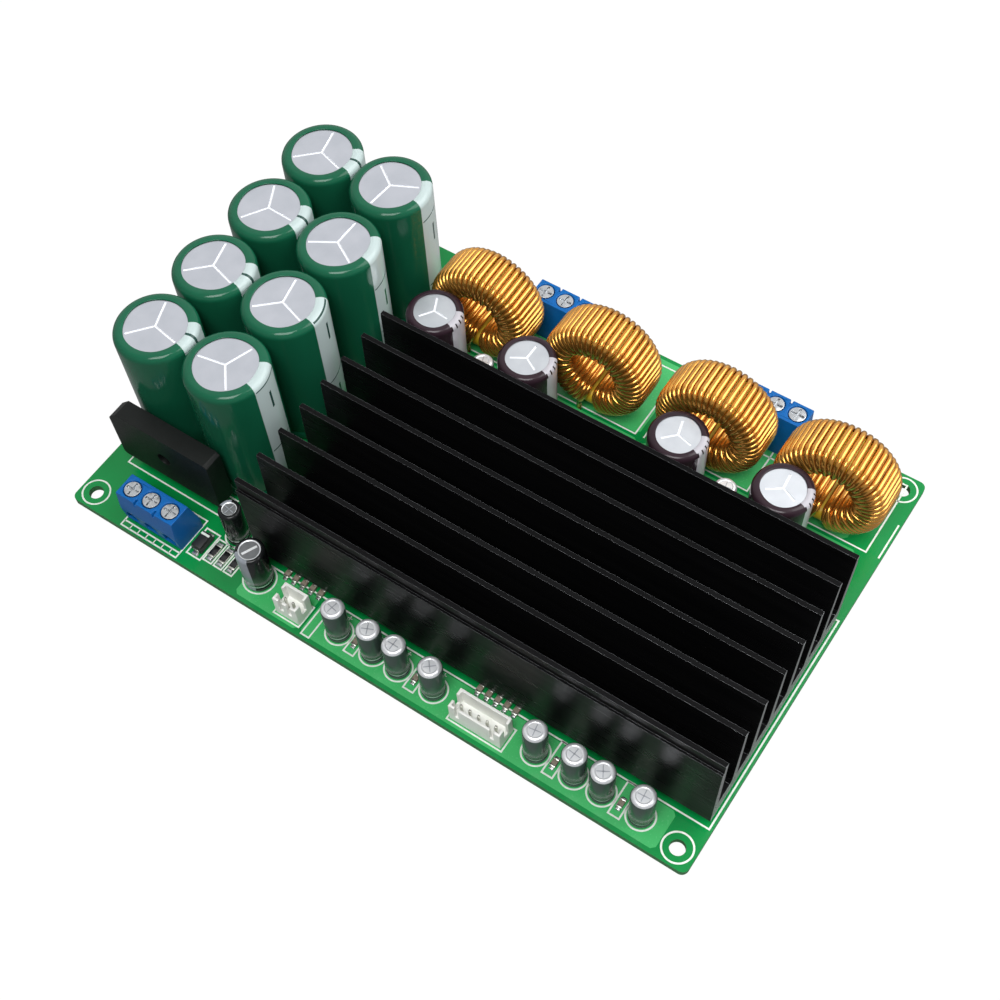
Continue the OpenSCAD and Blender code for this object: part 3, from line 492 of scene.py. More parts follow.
# Drawn and ironed aluminium of the small cans: pale silver, half mirror and half haze.
CAN = Finish(
    "drawn_aluminium", "#ECEEF0", "#E2E5E9", 0.3,
    metallic=0.5, spread=0.02, cloud=2.0, grain=1.5, depth=0.0002,
)
# The same aluminium on the large cans, with scored vents: a faintly lilac mirror, with a painted highlight
# in the score lines.
FILTER_CAN = ScoredCan(
    "drawn_aluminium_large", "#C9CCD4", "#BEC2CA", 0.3,
    metallic=1.0, spread=0.02, cloud=5.0, grain=2.5, depth=0.0004,
)
# The same on the rail capacitors, paler and a little softer, with the same painted highlight in the score
# lines.
RAIL_CAN = ScoredCan(
    "drawn_aluminium_rail", "#D0D4D9", "#C6CAD0", 0.34,
    metallic=1.0, spread=0.02, cloud=4.0, grain=2.5, depth=0.0004, end_z=23.87,
)
# Score lines on the small cans: the same metal, freshly cut.
SCORE = Finish(
    "scored_aluminium", "#BFC4CB", "#B3B8C0", 0.34, metallic=1.0, cloud=1.0, grain=0.3, depth=0.001
)
# Lacquered ends of the supply cans: a flat, even grey.
LACQUER = Finish("lacquered_aluminium", "#66696B", "#747779", 0.35, cloud=1.2, grain=0.4, depth=0.003)
# The vent cut through the lacquer of the larger one: a bright, white line.
FRESH_CUT = Finish(
    "cut_aluminium", "#F4F5F6", "#E6E8EA", 0.4, metallic=0.3, cloud=1.0, grain=0.3, depth=0.001
)
# Enamelled magnet wire: copper under amber varnish, golden in the light and browner in the folds.
WIRE = Finish(
    "enamelled_copper_wire", "#D79D46", "#C68A3B", 0.2,
    metallic=0.82, spread=0.04, cloud=2.5, grain=0.5, depth=0.002, coat=0.3,
)
# Epoxy-painted iron powder core: dull yellow, orange-peel skin.
CORE = Finish("painted_powder_core", "#D8B52C", "#C79F22", 0.45, cloud=3.0, grain=0.7, depth=0.02)
# Injection-moulded polyamide of the screw terminals: royal blue, fine spark-eroded grain.
BLUE = Finish(
    "moulded_polyamide_blue", "#0A62AC", "#09589E", 0.36, ior=1.32, cloud=7.0, grain=0.3, depth=0.008
)
# Moulded nylon of the pin headers: creamy white, slightly waxy.
IVORY = Finish("moulded_nylon_ivory", "#FBFCF8", "#F3F5EE", 0.42, cloud=4.0, grain=0.3, depth=0.006)
# Moulded black epoxy of the bridge rectifier: matt, tinned copper leads below the body.
BRIDGE = Package(
    "moulded_epoxy_bridge", "#0D100F", "#131615", 0.5,
    ior=1.3, grain=0.3, depth=0.012, middle=14.85, reach=7.8,
)
# The amplifier chips' epoxy, with gull-wing leads along both long sides.
CHIP = Package(
    "moulded_epoxy_amplifier", "#17181A", "#1E2022", 0.48,
    grain=0.25, depth=0.01, axis=Axis.Y, middle=-14.8, reach=5.55,
)
# Silicone gap pad: rubbery, pale grey.
PAD = Finish("silicone_gap_pad", "#8D9298", "#7C8187", 0.7, cloud=2.0, grain=0.4, depth=0.02)
# Nickel plate on pressed steel: bright, slightly cool, with a soft burnish.
NICKEL = Finish(
    "nickel_plated_steel", "#C2C5C8", "#B2B5B8", 0.27, metallic=1.0, cloud=1.2, grain=0.25, depth=0.003
)
# Bright zinc plate: bluer and a little duller than nickel.
ZINC = Finish(
    "zinc_plated_steel", "#C3C8CC", "#B3B9BF", 0.34, metallic=1.0, cloud=1.2, grain=0.25, depth=0.004
)
# Tin plate on brass pins: white metal, half dull.
TIN = Finish("tinned_brass", "#D4D4CC", "#C4C4BC", 0.3, metallic=1.0, cloud=1.0, grain=0.25, depth=0.003)
# Wave-soldered joints: bright fillets with a frosty skin.
SOLDER = Finish(
    "wave_solder", "#C7CACB", "#B2B6B8", 0.3, metallic=1.0, spread=0.1, cloud=0.9, grain=0.3, depth=0.01
)
# Fired thick-film glass of the resistors: glassy black.
GLASS = Finish("resistor_glaze", "#121314", "#1A1B1D", 0.2, cloud=0.8, grain=0.2, depth=0.002)
# Alumina below the glaze: chalk white.
ALUMINA = Finish("alumina_substrate", "#DCDAD2", "#CFCCC2", 0.6, cloud=0.8, grain=0.2, depth=0.004)
# Sintered barium titanate of the chip capacitors: tan, fine-grained.
TITANATE = Finish("chip_capacitor_ceramic", "#8E8475", "#7D7264", 0.5, cloud=0.7, grain=0.2, depth=0.004)
# Moulded epoxy of the small diode: matt, off-black.
DIODE = Finish("moulded_epoxy_diode", "#161718", "#1F2021", 0.45, cloud=1.5, grain=0.25, depth=0.01)
# What all shrink films share: a low, even gloss with ripples drawn out along the can.
SLEEVE_FILM: dict[str, Any] = {
    "spread": 0.04, "cloud": 9.0, "grain": 1.6, "depth": 0.02, "stretch": (1.0, 1.0, 0.18), "ior": 1.32,
}
# Printed PVC of the large capacitors: bottle green with a pale stripe.
GREEN_FILM = Sleeve(
    "shrink_film_green", "#13583E", "#165F44", 0.14,
    stripe="#BCCCCB", period=20.0, marks=((0.075, 0.008, 0.92), (0.36, 0.125, 0.09)), **SLEEVE_FILM,
)
# Printed PVC of the rail capacitors: very dark brown with a grey stripe.
BROWN_FILM = Sleeve(
    "shrink_film_brown", "#2A1D24", "#33242C", 0.18,
    stripe="#B9B7BE", mark="#2A2325", half_angle=24.0, height=20.5, marks=(), rim_ticks=4, **SLEEVE_FILM,
)
# Printed PVC of the signal and bypass capacitors: dark grey-green with a paler stripe.
DARK_FILM = Sleeve(
    "shrink_film_dark", "#3B4B45", "#455750", 0.2,
    stripe="#9DB1A9", mark="#2F3B37", half_angle=30.0, height=10.0, period=3.4, **SLEEVE_FILM,
)
# Printed PVC of the supply capacitors: black with a broad grey stripe.
BLACK_FILM = Sleeve(
    "shrink_film_black", "#161819", "#1D2021", 0.16,
    stripe="#9298A0", mark="#26282B", half_angle=38.0, height=11.5, marks=(), **SLEEVE_FILM,
)


class Draft:
    """A mesh being built in millimetres, with its faces' materials by number."""

    def __init__(self) -> None:
        """Start with no faces."""
        self.bm = bmesh.new()
        self.uv = self.bm.loops.layers.uv.new("UVMap")

    def face(self, corners: Sequence[Any], paint: int = 0, chart: Sequence[Point] | None = None) -> None:
        """Add one face.

        Args:
            corners: Its vertices in order.
            paint: Number of its material.
            chart: Texture coordinates of the corners, where it has any.
        """
        made = self.bm.faces.new(corners)
        made.material_index = paint
        for loop, where in zip(made.loops, chart or []):
            loop[self.uv].uv = where

    def lathe(
        self,
        profile: Sequence[Point],
        centre: Point,
        steps: int,
        turn: float = 0.0,
        wave: Sequence[float] = (),
        slip: float = 0.0,
    ) -> None:
        """Turn a profile about a vertical axis, with texture u by angle and v by height.

        A profile that ends at its axis is closed there.

        Args:
            profile: Radius and height of each ring, from the bottom outside.
            centre: Axis on the board.
            steps: Faces around.
            turn: Angle in degrees that texture u = 0.5 points to.
            wave: Share by which each step of the last rings is moved out.
            slip: How far the print sits below its place, in millimetres.
        """
        waved_rings = 3
        axis_radius, axis_weld = 0.05, 0.2
        top = max(z for _, z in profile)
        start = math.radians(turn) - math.pi
        rings = []
        for number, (radius, z) in enumerate(profile):
            ring = []
            for step in range(steps):
                angle = start + math.tau * step / steps
                last = number >= len(profile) - waved_rings and wave
                reach = radius * (1 + (wave[step] if last else 0.0))
                x, y = centre[0] + reach * math.cos(angle), centre[1] + reach * math.sin(angle)
                ring.append(self.bm.verts.new((x, y, z)))
            rings.append(ring)
        for low, high, (_, z0), (_, z1) in zip(rings, rings[1:], profile, profile[1:]):
            for step in range(steps):
                after = (step + 1) % steps
                u0, u1 = step / steps, (step + 1) / steps
                v0, v1 = (z0 + slip) / top, (z1 + slip) / top
                chart = ((u0, v0), (u1, v0), (u1, v1), (u0, v1))
                self.face((low[step], low[after], high[after], high[step]), 0, chart)
        if profile[-1][0] < axis_radius:
            bmesh.ops.remove_doubles(self.bm, verts=rings[-1], dist=axis_weld)

    def ribbon(
        self, line: Sequence[Point], width: float, z: float, closed: bool = False, paint: int = 0
    ) -> None:
        """Lay a flat line of even width with mitred corners.

        Args:
            line: Points along its middle.
            width: Width of the line.
            z: Height at which it lies.
            closed: Whether the last point joins the first.
            paint: Number of its material.
        """
        count = len(line)
        sides = []
        for i, here in enumerate(line):
            into = Vector(here) - Vector(line[i - 1]) if closed or i else Vector(line[1]) - Vector(here)
            out = Vector(line[(i + 1) % count]) - Vector(here) if closed or i < count - 1 else into
            normal = Vector((-into.y, into.x)).normalized() + Vector((-out.y, out.x)).normalized()
            normal = normal / max(normal.length_squared / 2, MITRE_LEAST) * width / 2
            left = self.bm.verts.new((here[0] + normal.x, here[1] + normal.y, z))
            right = self.bm.verts.new((here[0] - normal.x, here[1] - normal.y, z))
            sides.append((left, right))
        for i in range(count if closed else count - 1):
            (a, b), (c, d) = sides[i], sides[(i + 1) % count]
            self.face((b, d, c, a), paint)

    def ring(self, centre: Point, radius: float, width: float, z: float, steps: int = 48) -> None:
        """Lay a flat circular line.

        Args:
            centre: Middle of the circle.
            radius: Radius of the line's middle.
            width: Width of the line.
            z: Height at which it lies.
            steps: Faces around.
        """
        turns = [math.tau * i / steps for i in range(steps)]
        line = [(centre[0] + radius * math.cos(t), centre[1] + radius * math.sin(t)) for t in turns]
        self.ribbon(line, width, z, True)

    def plate(self, outline: Sequence[Point], z: float, paint: int = 0) -> None:
        """Lay a flat patch with the given outline, counter-clockwise."""
        self.face([self.bm.verts.new((x, y, z)) for x, y in outline], paint)

    def block(
        self, low: Sequence[float], high: Sequence[float], radius: float, paint: int = 0, draw: float = 0.0
    ) -> None:
        """Add a block with rounded edges.

        Args:
            low: Lowest corner.
            high: Highest corner.
            radius: Edge radius.
            paint: Number of its material.
            draw: How far each side leans in by the top.
        """
        middle = [(a + b) / 2 for a, b in zip(low, high)]
        made = bmesh.ops.create_cube(self.bm, size=1.0)["verts"]
        for vert in made:
            lean = draw if vert.co.z > 0 else 0.0
            size = [high[k] - low[k] - (2 * lean if k < 2 else 0.0) for k in range(3)]
            vert.co = Vector([middle[k] + vert.co[k] * size[k] for k in range(3)])
        edges = list({edge for vert in made for edge in vert.link_edges})
        for face in {face for vert in made for face in vert.link_faces}:
            face.material_index = paint
        bmesh.ops.bevel(
            self.bm,
            geom=edges,
            offset=radius,
            segments=EDGE_SEGMENTS,
            profile=0.5,
            affect="EDGES",
            material=paint,
        )

    def tube(self, line: Sequence[Vector], radius: float, sides: int) -> None:
        """Sweep a round section along a line, closed at both ends.

        Args:
            line: Points along its middle.
            radius: Radius of the section.
            sides: Faces around.
        """
        turns = [math.tau * k / sides for k in range(sides)]
        tangent = (line[1] - line[0]).normalized()
        across = tangent.orthogonal().normalized()
        rings = []
        for i, here in enumerate(line):
            ahead = (line[min(i + 1, len(line) - 1)] - line[max(i - 1, 0)]).normalized()
            across = (tangent.rotation_difference(ahead) @ across).normalized()
            tangent = ahead
            other = tangent.cross(across)
            spots = [here + radius * (across * math.cos(t) + other * math.sin(t)) for t in turns]
            rings.append([self.bm.verts.new(spot) for spot in spots])
        for low, high in zip(rings, rings[1:]):
            for k in range(sides):
                after = (k + 1) % sides
                self.face((low[k], low[after], high[after], high[k]))
        self.face(list(reversed(rings[0])))
        self.face(rings[-1])

    def place(
        self,
        name: str,
        finishes: Sequence[Finish],
        slot: Slot,
        stands_for: Sequence[str] = (),
        sharp: float = 40.0,
    ) -> None:
        """Turn the draft into a piece on the board.

        Args:
            name: Name of the piece.
            finishes: Finishes by material number.
            slot: Finish slot of the record; not used.
            stands_for: CAD nodes that the piece replaces.
            sharp: Angle in degrees beyond which an edge stays sharp.
        """
        for edge in self.bm.edges:
            edge.smooth = len(edge.link_faces) == 2 and edge.calc_face_angle(0.0) < math.radians(sharp)
        for face in self.bm.faces:
            face.smooth = True
        for vert in self.bm.verts:
            vert.co = on_board(*vert.co)
        mesh = bpy.data.meshes.new(name)
        self.bm.to_mesh(mesh)
        self.bm.free()
        for finish in finishes:
            mesh.materials.append(finish.material())
        piece = bpy.data.objects.new(name, mesh)
        bpy.context.scene.collection.objects.link(piece)
        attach(piece, "board")
        if stands_for:
            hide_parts(*stands_for)
        LOG.info("%s: %d faces", name, len(mesh.polygons))


def dress(name: str, finish: Finish, edge: float = 0.0, edge_highlight: Finish | None = None) -> None:
    """Give a CAD node its finish and, where asked, its small edge radius.

    Args:
        name: Name of the node.
        finish: Finish that it wears.
        edge: Edge radius in millimetres; 0 leaves the edges alone.
        edge_highlight: Finish of the bevelled edges, a painted highlight in place of the light that they
            catch.
    """
    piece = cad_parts[name]
    piece.data.materials.clear()
    piece.data.materials.append(finish.material())
    if edge:
        piece.data.polygons.foreach_set("use_smooth", [True] * len(piece.data.polygons))
        weld = piece.modifiers.new("weld", "WELD")
        weld.merge_threshold = WELD_WITHIN * MM
        bevel = piece.modifiers.new("edge_radius", "BEVEL")
        bevel.width = edge * MM
        bevel.segments = EDGE_SEGMENTS
        bevel.limit_method = "ANGLE"
        bevel.angle_limit = math.radians(ROUNDED_FROM)
        # The bevel faces get a second finish: a painted highlight along the edges.
        if edge_highlight:
            piece.data.materials.append(edge_highlight.material())
            bevel.material = 1
        piece.modifiers.new("flat_faces", "WEIGHTED_NORMAL")
    LOG.info("%s wears %s", name, finish.name)


@dataclass
class Board:
    """The laminate with its masked copper and its printed legend."""

    copper_z: float = 0.02
    copper_clip: float = 0.8
    pours: tuple[Box, ...] = (
        (44.6, 0.9, 60.8, 9.4),
        (61.6, 0.9, 144.8, 9.6),
        (40.2, 62.4, 95.2, 77.8),
        (96.2, 62.4, 147.0, 77.8),
        (39.6, 79.0, 94.6, 99.1),
        (96.2, 79.0, 143.9, 99.1),
    )
    ink_z: float = 0.04
    line: float = 0.36
    tick_line: float = 0.25
    sign_line: float = 0.2
    hole_inset: float = 3.8
    hole_ring: float = 3.05
    hole_line: float = 0.38
    small_ring: float = 2.9
    supply_ring: float = 3.55
    rail_ring: float = 6.65
    boxes: tuple[Box, ...] = (
        (13.7, 0.6, 29.0, 11.2),
        (4.6, 13.6, 31.4, 18.6),
        (43.8, 10.0, 151.3, 61.6),
        (30.1, 2.9, 33.7, 9.8),
        (34.1, 3.5, 36.3, 9.1),
        (36.9, 3.5, 39.0, 9.1),
        (39.6, 3.5, 41.8, 9.1),
        (54.4, 1.7, 60.9, 7.0),
        (62.1, 0.9, 64.1, 8.3),
        (97.6, 1.7, 110.4, 7.0),
        (57.7, 88.6, 78.9, 99.4),
        (104.7, 88.6, 125.9, 99.4),
    )
    # Boxes round parts that stand in a row: half their width, and their front and rear edges.
    ceramic_box: Triple = (1.2, 2.5, 9.9)
    inductor_box: Triple = (11.3, 78.7, 97.6)
    # The AC terminal's front strip, with ticks across it.
    strip: Box = (13.7, 0.6, 29.0, 1.9)
    tick_x: float = 16.0
    tick_step: float = 2.2
    ticks: int = 6
    # Lines beside the right-hand inductors.
    side_x: tuple[float, ...] = (96.0, 151.4)
    side_y: Point = (78.7, 88.0)
    # Pin numbers behind the input header.
    pins: tuple[int, ...] = (4, 3, 5, 2, 1)
    pin_spot: Point = (99.5, 7.5)
    pin_step: float = 2.0
    digit_scale: float = 0.9
    plus_y: float = 9.05
    plus_arm: float = 0.55
    digits: dict[int, tuple[Point, ...]] = field(
        default_factory=lambda: {
            1: ((0.25, 1.25), (0.55, 1.6), (0.55, 0.0)),
            2: ((0.0, 1.25), (0.25, 1.6), (0.75, 1.6), (1.0, 1.2), (0.0, 0.0), (1.0, 0.0)),
            3: ((0.0, 1.6), (1.0, 1.6), (0.45, 0.95), (1.0, 0.5), (0.6, 0.0), (0.0, 0.1)),
            4: ((0.75, 0.0), (0.75, 1.6), (0.0, 0.5), (1.0, 0.5)),
            5: ((1.0, 1.6), (0.1, 1.6), (0.0, 0.9), (0.7, 1.0), (1.0, 0.5), (0.6, 0.0), (0.0, 0.1)),
        }
    )

    def build(self) -> None:
        """Dress the laminate and lay copper and legend on it."""
        dress("circuit_board", MASK)
        self.copper()
        draft = Draft()
        self.rings(draft)
        self.outlines(draft)
        self.signs(draft)
        draft.place("printed_legend", [INK], Slot.SOLDER_MASK)

    def copper(self) -> None:
        """Lay the masked copper areas with clipped corners."""
        draft = Draft()
        clip = self.copper_clip
        for x0, y0, x1, y1 in self.pours:
            outline = (
                (x0 + clip, y0), (x1 - clip, y0), (x1, y0 + clip), (x1, y1 - clip),
                (x1 - clip, y1), (x0 + clip, y1), (x0, y1 - clip), (x0, y0 + clip),
            )
            draft.plate(outline, self.copper_z)
        draft.place("masked_copper", [POUR], Slot.SOLDER_MASK)

    def rings(self, draft: Draft) -> None:
        """Print a ring round each mounting hole and each round part.

        Args:
            draft: Mesh of the legend.
        """
        for x in (self.hole_inset, BOARD_W - self.hole_inset):
            for y in (self.hole_inset, BOARD_D - self.hole_inset):
                draft.ring((x, y), self.hole_ring, self.hole_line, self.ink_z)
        spots = [((x, LAYOUT.signal_y), self.small_ring) for x in LAYOUT.signal_x]
        spots += [((x, LAYOUT.rail_y), self.rail_ring) for x in LAYOUT.rail_x]
        spots += [((x, LAYOUT.rail_y), self.small_ring) for x in LAYOUT.bypass_x]
        spots += zip(LAYOUT.supply, (self.small_ring, self.supply_ring))
        for centre, radius in spots:
            draft.ring(centre, radius, self.line, self.ink_z)

    def outlines(self, draft: Draft) -> None:
        """Print the boxes round the other parts, and the lines beside them.

        Args:
            draft: Mesh of the legend.
        """
        z = self.ink_z
        boxes = list(self.boxes)
        rows = ((self.ceramic_box, LAYOUT.front_ceramic_x), (self.inductor_box, LAYOUT.inductor_x))
        for (half, front, rear), places in rows:
            boxes += [(x - half, front, x + half, rear) for x in places]
        for x0, y0, x1, y1 in boxes:
            draft.ribbon(((x0, y0), (x1, y0), (x1, y1), (x0, y1)), self.line, z, True)
        x0, y0, x1, y1 = self.strip
        draft.ribbon(((x0, y1), (x1, y1)), self.line, z)
        for step in range(self.ticks):
            x = self.tick_x + self.tick_step * step
            draft.ribbon(((x, y0), (x, y1)), self.tick_line, z)
        for x in self.side_x:
            draft.ribbon([(x, y) for y in self.side_y], self.line, z)

    def signs(self, draft: Draft) -> None:
        """Print the pin numbers, and a plus sign behind each signal capacitor.

        Args:
            draft: Mesh of the legend.
        """
        size, arm, y = self.digit_scale, self.plus_arm, self.plus_y
        for pin, number in enumerate(self.pins):
            x = self.pin_spot[0] + self.pin_step * pin
            line = [(x + size * px, self.pin_spot[1] + size * py) for px, py in self.digits[number]]
            draft.ribbon(line, self.sign_line, self.ink_z)
        for x in LAYOUT.signal_x:
            for stroke in (((x - arm, y), (x + arm, y)), ((x, y - arm), (x, y + arm))):
                draft.ribbon(stroke, self.sign_line, self.ink_z)


@dataclass
class CapacitorBank:
    """Electrolytic capacitors of one size: CAD cans in printed film sleeves."""

    name: str
    cans: str
    stands_for: str
    film: Sleeve
    can_finish: ScoredCan
    slot: Slot
    diameter: float
    height: float
    centres: Sequence[Point]
    turns: Sequence[float]
    lip: float
    edge: float
    slips: Sequence[float] = ()
    # Rings of the tucked foot: how far inside the wall, and how high.
    foot: tuple[Point, ...] = ((0.35, 0.25), (0.08, 0.27), (0.0, 0.4))
    bead_z: float = 2.6
    bead_half: float = 0.7
    bead_depth: float = 0.25
    bead_rings: tuple[float, ...] = (-1.0, -0.6, -0.3, 0.0, 0.3, 0.6, 1.0)
    wall_rings: tuple[float, ...] = (0.25, 0.5, 0.75)
    # Rings of the lip's inner edge: how far outside the opening, and how far down.
    lip_rings: tuple[Point, ...] = ((0.1, 0.0), (0.0, 0.04), (0.0, 0.16))
    lip_wave: float = 0.006
    lip_beats: tuple[int, ...] = (2, 3, 5)
    steps: int = 72

    def profile(self) -> list[Point]:
        """Draw half a section through the sleeve.

        Returns:
            Radius and height of its rings, from its foot to its lip.
        """
        radius, top, bead = self.diameter / 2, self.height, self.bead_z
        rings = [(radius - inset, z) for inset, z in self.foot]
        for share in self.bead_rings:
            dip = self.bead_depth * (math.cos(share * math.pi) + 1) / 2
            rings.append((radius - dip, bead + share * self.bead_half))
        rings += [(radius, bead + (top - bead) * share) for share in self.wall_rings]
        rings += rounded(radius, top, self.edge)
        return rings + [(radius - self.lip + off, top - down) for off, down in self.lip_rings]

    def build(self) -> None:
        """Dress the cans and shrink the sleeves on."""
        dress(self.cans, self.can_finish)
        profile = self.profile()
        draw = random.Random(len(self.name))
        draft = Draft()
        for centre, turn, slip in zip(self.centres, self.turns, self.slips or [0.0] * len(self.turns)):
            phases = [draw.uniform(0, math.tau) for _ in self.lip_beats]
            wave = []
            for angle in (math.tau * i / self.steps for i in range(self.steps)):
                beats = [math.sin(k * angle + p) for k, p in zip(self.lip_beats, phases)]
                wave.append(self.lip_wave * sum(beats))
            draft.lathe(profile, centre, self.steps, turn, wave, slip)
        draft.place(self.name, [self.film], self.slot, [self.stands_for])


@dataclass
class SmallCapacitors:
    """Small electrolytics: a can with a rolled silver shoulder, in a film sleeve.

    The sleeve ends below the shoulder, or has a lip over it.
    """

    name: str
    node: str
    film: Sleeve
    diameter: float
    height: float
    centres: Sequence[Point]
    turns: Sequence[float]
    shoulder: float = 0.75
    # Rings of the can's foot, and of the film's foot and bead: how far inside the wall, and how high.
    can_foot: tuple[Point, ...] = ((0.3, 0.1), (0.0, 0.3))
    film_foot: tuple[Point, ...] = (
        (0.3, 0.05), (0.0, 0.2), (0.0, 1.2), (0.16, 1.45), (0.16, 1.7), (0.0, 1.95),
    )
    # Rings of the film's upper edge: how far inside the wall, and how far down.
    film_edge: tuple[Point, ...] = ((0.0, 0.3), (0.06, 0.06), (0.16, 0.0))
    film_rise: float = 0.15
    film_thick: float = 0.12
    # Rings of the can's rim and end, inside the shoulder: how far further in, and how far down.
    end_rings: tuple[Point, ...] = ((0.12, 0.02), (0.22, 0.12))
    end_sunk: float = 0.12
    end_inset: float = 0.34
    end_lift: float = 0.01
    lip: float = 0.0
    lip_share: float = 0.85
    lip_fold: Point = (0.03, 0.15)
    score_lift: float = 0.025
    score: float = 0.2
    score_ways: tuple[float, ...] = (20.0, 110.0)
    score_reach: float = 0.72
    end: Finish = CAN
    cut: Finish = SCORE
    steps: int = 40

    def can_profile(self) -> list[Point]:
        """Draw half a section through the can.

        Returns:
            Radius and height of its rings, from its foot to the middle of its end.
        """
        below_shoulder, half_way, axis = 0.6, 0.5, 0.01
        radius = self.diameter / 2 - self.film_thick
        rings = [(radius - inset, z) for inset, z in self.can_foot]
        rings.append((radius, self.height - self.shoulder - below_shoulder))
        rings += rounded(radius, self.height, self.shoulder)
        inner = radius - self.shoulder
        rings += [(inner - inset, self.height - down) for inset, down in self.end_rings]
        sunk = self.height - self.end_sunk
        return rings + [((inner - self.end_rings[0][0]) * half_way, sunk), (axis, sunk)]

    def film_profile(self) -> list[Point]:
        """Draw half a section through the sleeve, with the bead pressed in near its foot.

        Returns:
            Radius and height of its rings, from its foot up.
        """
        radius = self.diameter / 2
        rings = [(radius - inset, z) for inset, z in self.film_foot]
        if not self.lip:
            top = self.height - self.shoulder + self.film_rise
            rings.append((radius, top / 2))
            return rings + [(radius - inset, top - down) for inset, down in self.film_edge]
        rings.append((radius, self.height / 2))
        rings += rounded(radius, self.height, self.shoulder * self.lip_share)
        inner = radius - self.lip
        return rings + [(inner, self.height), (inner - self.lip_fold[0], self.height - self.lip_fold[1])]

    def build(self) -> None:
        """Turn the cans, score their ends and shrink the sleeves on."""
        cans, films = Draft(), Draft()
        reach = (self.diameter / 2 - self.shoulder) * self.score_reach
        wide = self.diameter / 2 - max(self.shoulder + self.end_inset, self.lip)
        sunk = self.height - self.end_sunk
        spokes = [math.tau * i / self.steps for i in range(self.steps)]
        for (x, y), turn in zip(self.centres, self.turns):
            cans.lathe(self.can_profile(), (x, y), self.steps, turn)
            films.lathe(self.film_profile(), (x, y), self.steps, turn)
            disc = [(x + wide * math.cos(a), y + wide * math.sin(a)) for a in spokes]
            cans.plate(disc, sunk + self.end_lift, 2)
            for way in self.score_ways:
                dx, dy = (reach * f(math.radians(turn + way)) for f in (math.cos, math.sin))
                line = ((x - dx, y - dy), (x + dx, y + dy))
                cans.ribbon(line, self.score, sunk + self.score_lift, paint=1)
        cans.place(f"{self.name}_cans", [CAN, self.cut, self.end], Slot.CAN, [self.node])
        films.place(f"{self.name}_films", [self.film], Slot.SLEEVE_DARK)


@dataclass
class Inductor:
    """A painted toroid core wound close with enamelled wire, which stands two deep in the bore."""

    number: int
    x: float
    y: float = 83.0
    z: float = 13.13
    turns: int = 48
    wire: float = 1.25
    start: float = -77.0
    sweep: float = 334.0
    inside: float = 6.6
    outside: float = 11.68
    side: float = 5.2
    corner: float = 2.3
    drop: float = 0.95
    splay: float = 9.0
    lean: float = 0.35
    # Points round each corner of a turn.
    bend_points: int = 5
    # The last turn ends after this share, at its front outer corner, where its lead goes down.
    last_share: float = 0.62
    lead_below: float = 1.5
    seed: int = 40
    sides: int = 12
    core_steps: int = 72

    def loop(self, inside: float, off: float = 0.0) -> list[Point]:
        """One turn as radius and depth, starting on the rear face near the bore.

        Args:
            inside: Radius at which the turn runs through the bore.
            off: How far inside the turn's own line the points lie.

        Returns:
            Points round the turn, without the first one again.
        """
        bend = self.corner - off
        corners = (
            (inside + self.corner, self.side - self.corner, 90),
            (inside + self.corner, self.corner - self.side, 180),
            (self.outside - self.corner, self.corner - self.side, 270),
            (self.outside - self.corner, self.side - self.corner, 0),
        )
        points: list[Point] = []
        for radius, depth, angle in corners:
            for i in range(self.bend_points):
                turn = math.radians(angle + 90 * i / (self.bend_points - 1))
                points.append((radius + bend * math.cos(turn), depth + bend * math.sin(turn)))
            if angle in (90, 270):
                points.append((points[-1][0], 0.0))
        return points

    def path(self) -> list[Vector]:
        """Wind the wire.

        Returns:
            Points along its middle, from lead to lead.
        """
        draw = random.Random(self.seed + self.number)
        points: list[Vector] = []
        for turn in range(self.turns):
            inside = self.inside - (self.drop if turn % 2 else 0.0)
            lean = draw.uniform(-self.lean, self.lean)
            loop = self.loop(inside)
            for i, (radius, depth) in enumerate(loop):
                share = i / len(loop)
                if turn == self.turns - 1 and share > self.last_share:
                    break
                deep = min(1.0, (self.outside - radius) / (self.outside - self.inside))
                along = (turn + share) / self.turns
                swell = lean * math.sin(math.pi * share) * (1 - deep) + self.splay * (2 * along - 1) * deep
                angle = math.radians(self.start + self.sweep * along + swell)
                points.append(Vector((radius * math.cos(angle), depth, radius * math.sin(angle))))
        middle = Vector((self.x, self.y, self.z))
        foot = -self.z - self.lead_below
        first, last = points[0], points[-1]
        lead_in = [Vector((first.x, first.y, foot)), Vector((first.x, first.y, (foot + first.z) / 2))]
        lead_out = [Vector((last.x, last.y, (foot + last.z) / 2)), Vector((last.x, last.y, foot))]
        return [middle + p for p in lead_in + points + lead_out]

    def build(self) -> None:
        """Press the core, paint it and wind it."""
        draft = Draft()
        section = self.loop(self.inside, self.wire / 2)
        rings = []
        for angle in (math.tau * step / self.core_steps for step in range(self.core_steps)):
            across, up = math.cos(angle), math.sin(angle)
            spots = [(self.x + r * across, self.y + d, self.z + r * up) for r, d in section]
            rings.append([draft.bm.verts.new(spot) for spot in spots])
        for low, high in zip(rings, rings[1:] + rings[:1]):
            for k in range(len(section)):
                draft.face((low[k], low[k - 1], high[k - 1], high[k]))
        bmesh.ops.recalc_face_normals(draft.bm, faces=draft.bm.faces)
        draft.place(f"toroid_core_{self.number}", [CORE], Slot.CORE, [f"inductor_core_{self.number}"])
        draft = Draft()
        draft.tube(self.path(), self.wire / 2, self.sides)
        node = f"inductor_winding_{self.number}"
        draft.place(f"wire_winding_{self.number}", [WIRE], Slot.COPPER, [node], sharp=60.0)


@dataclass(frozen=True)
class Brick:
    """A block with rounded edges, and the number of its material."""

    half_x: float
    half_y: float
    bottom: float
    top: float
    radius: float
    paint: int = 0
    draw: float = 0.0

    def add(self, draft: Draft, x: float, y: float) -> None:
        """Add the block to a draft.

        Args:
            draft: Mesh that it goes into.
            x: Middle of the block.
            y: Middle of the block.
        """
        low = (x - self.half_x, y - self.half_y, self.bottom)
        high = (x + self.half_x, y + self.half_y, self.top)
        draft.block(low, high, self.radius, self.paint, self.draw)


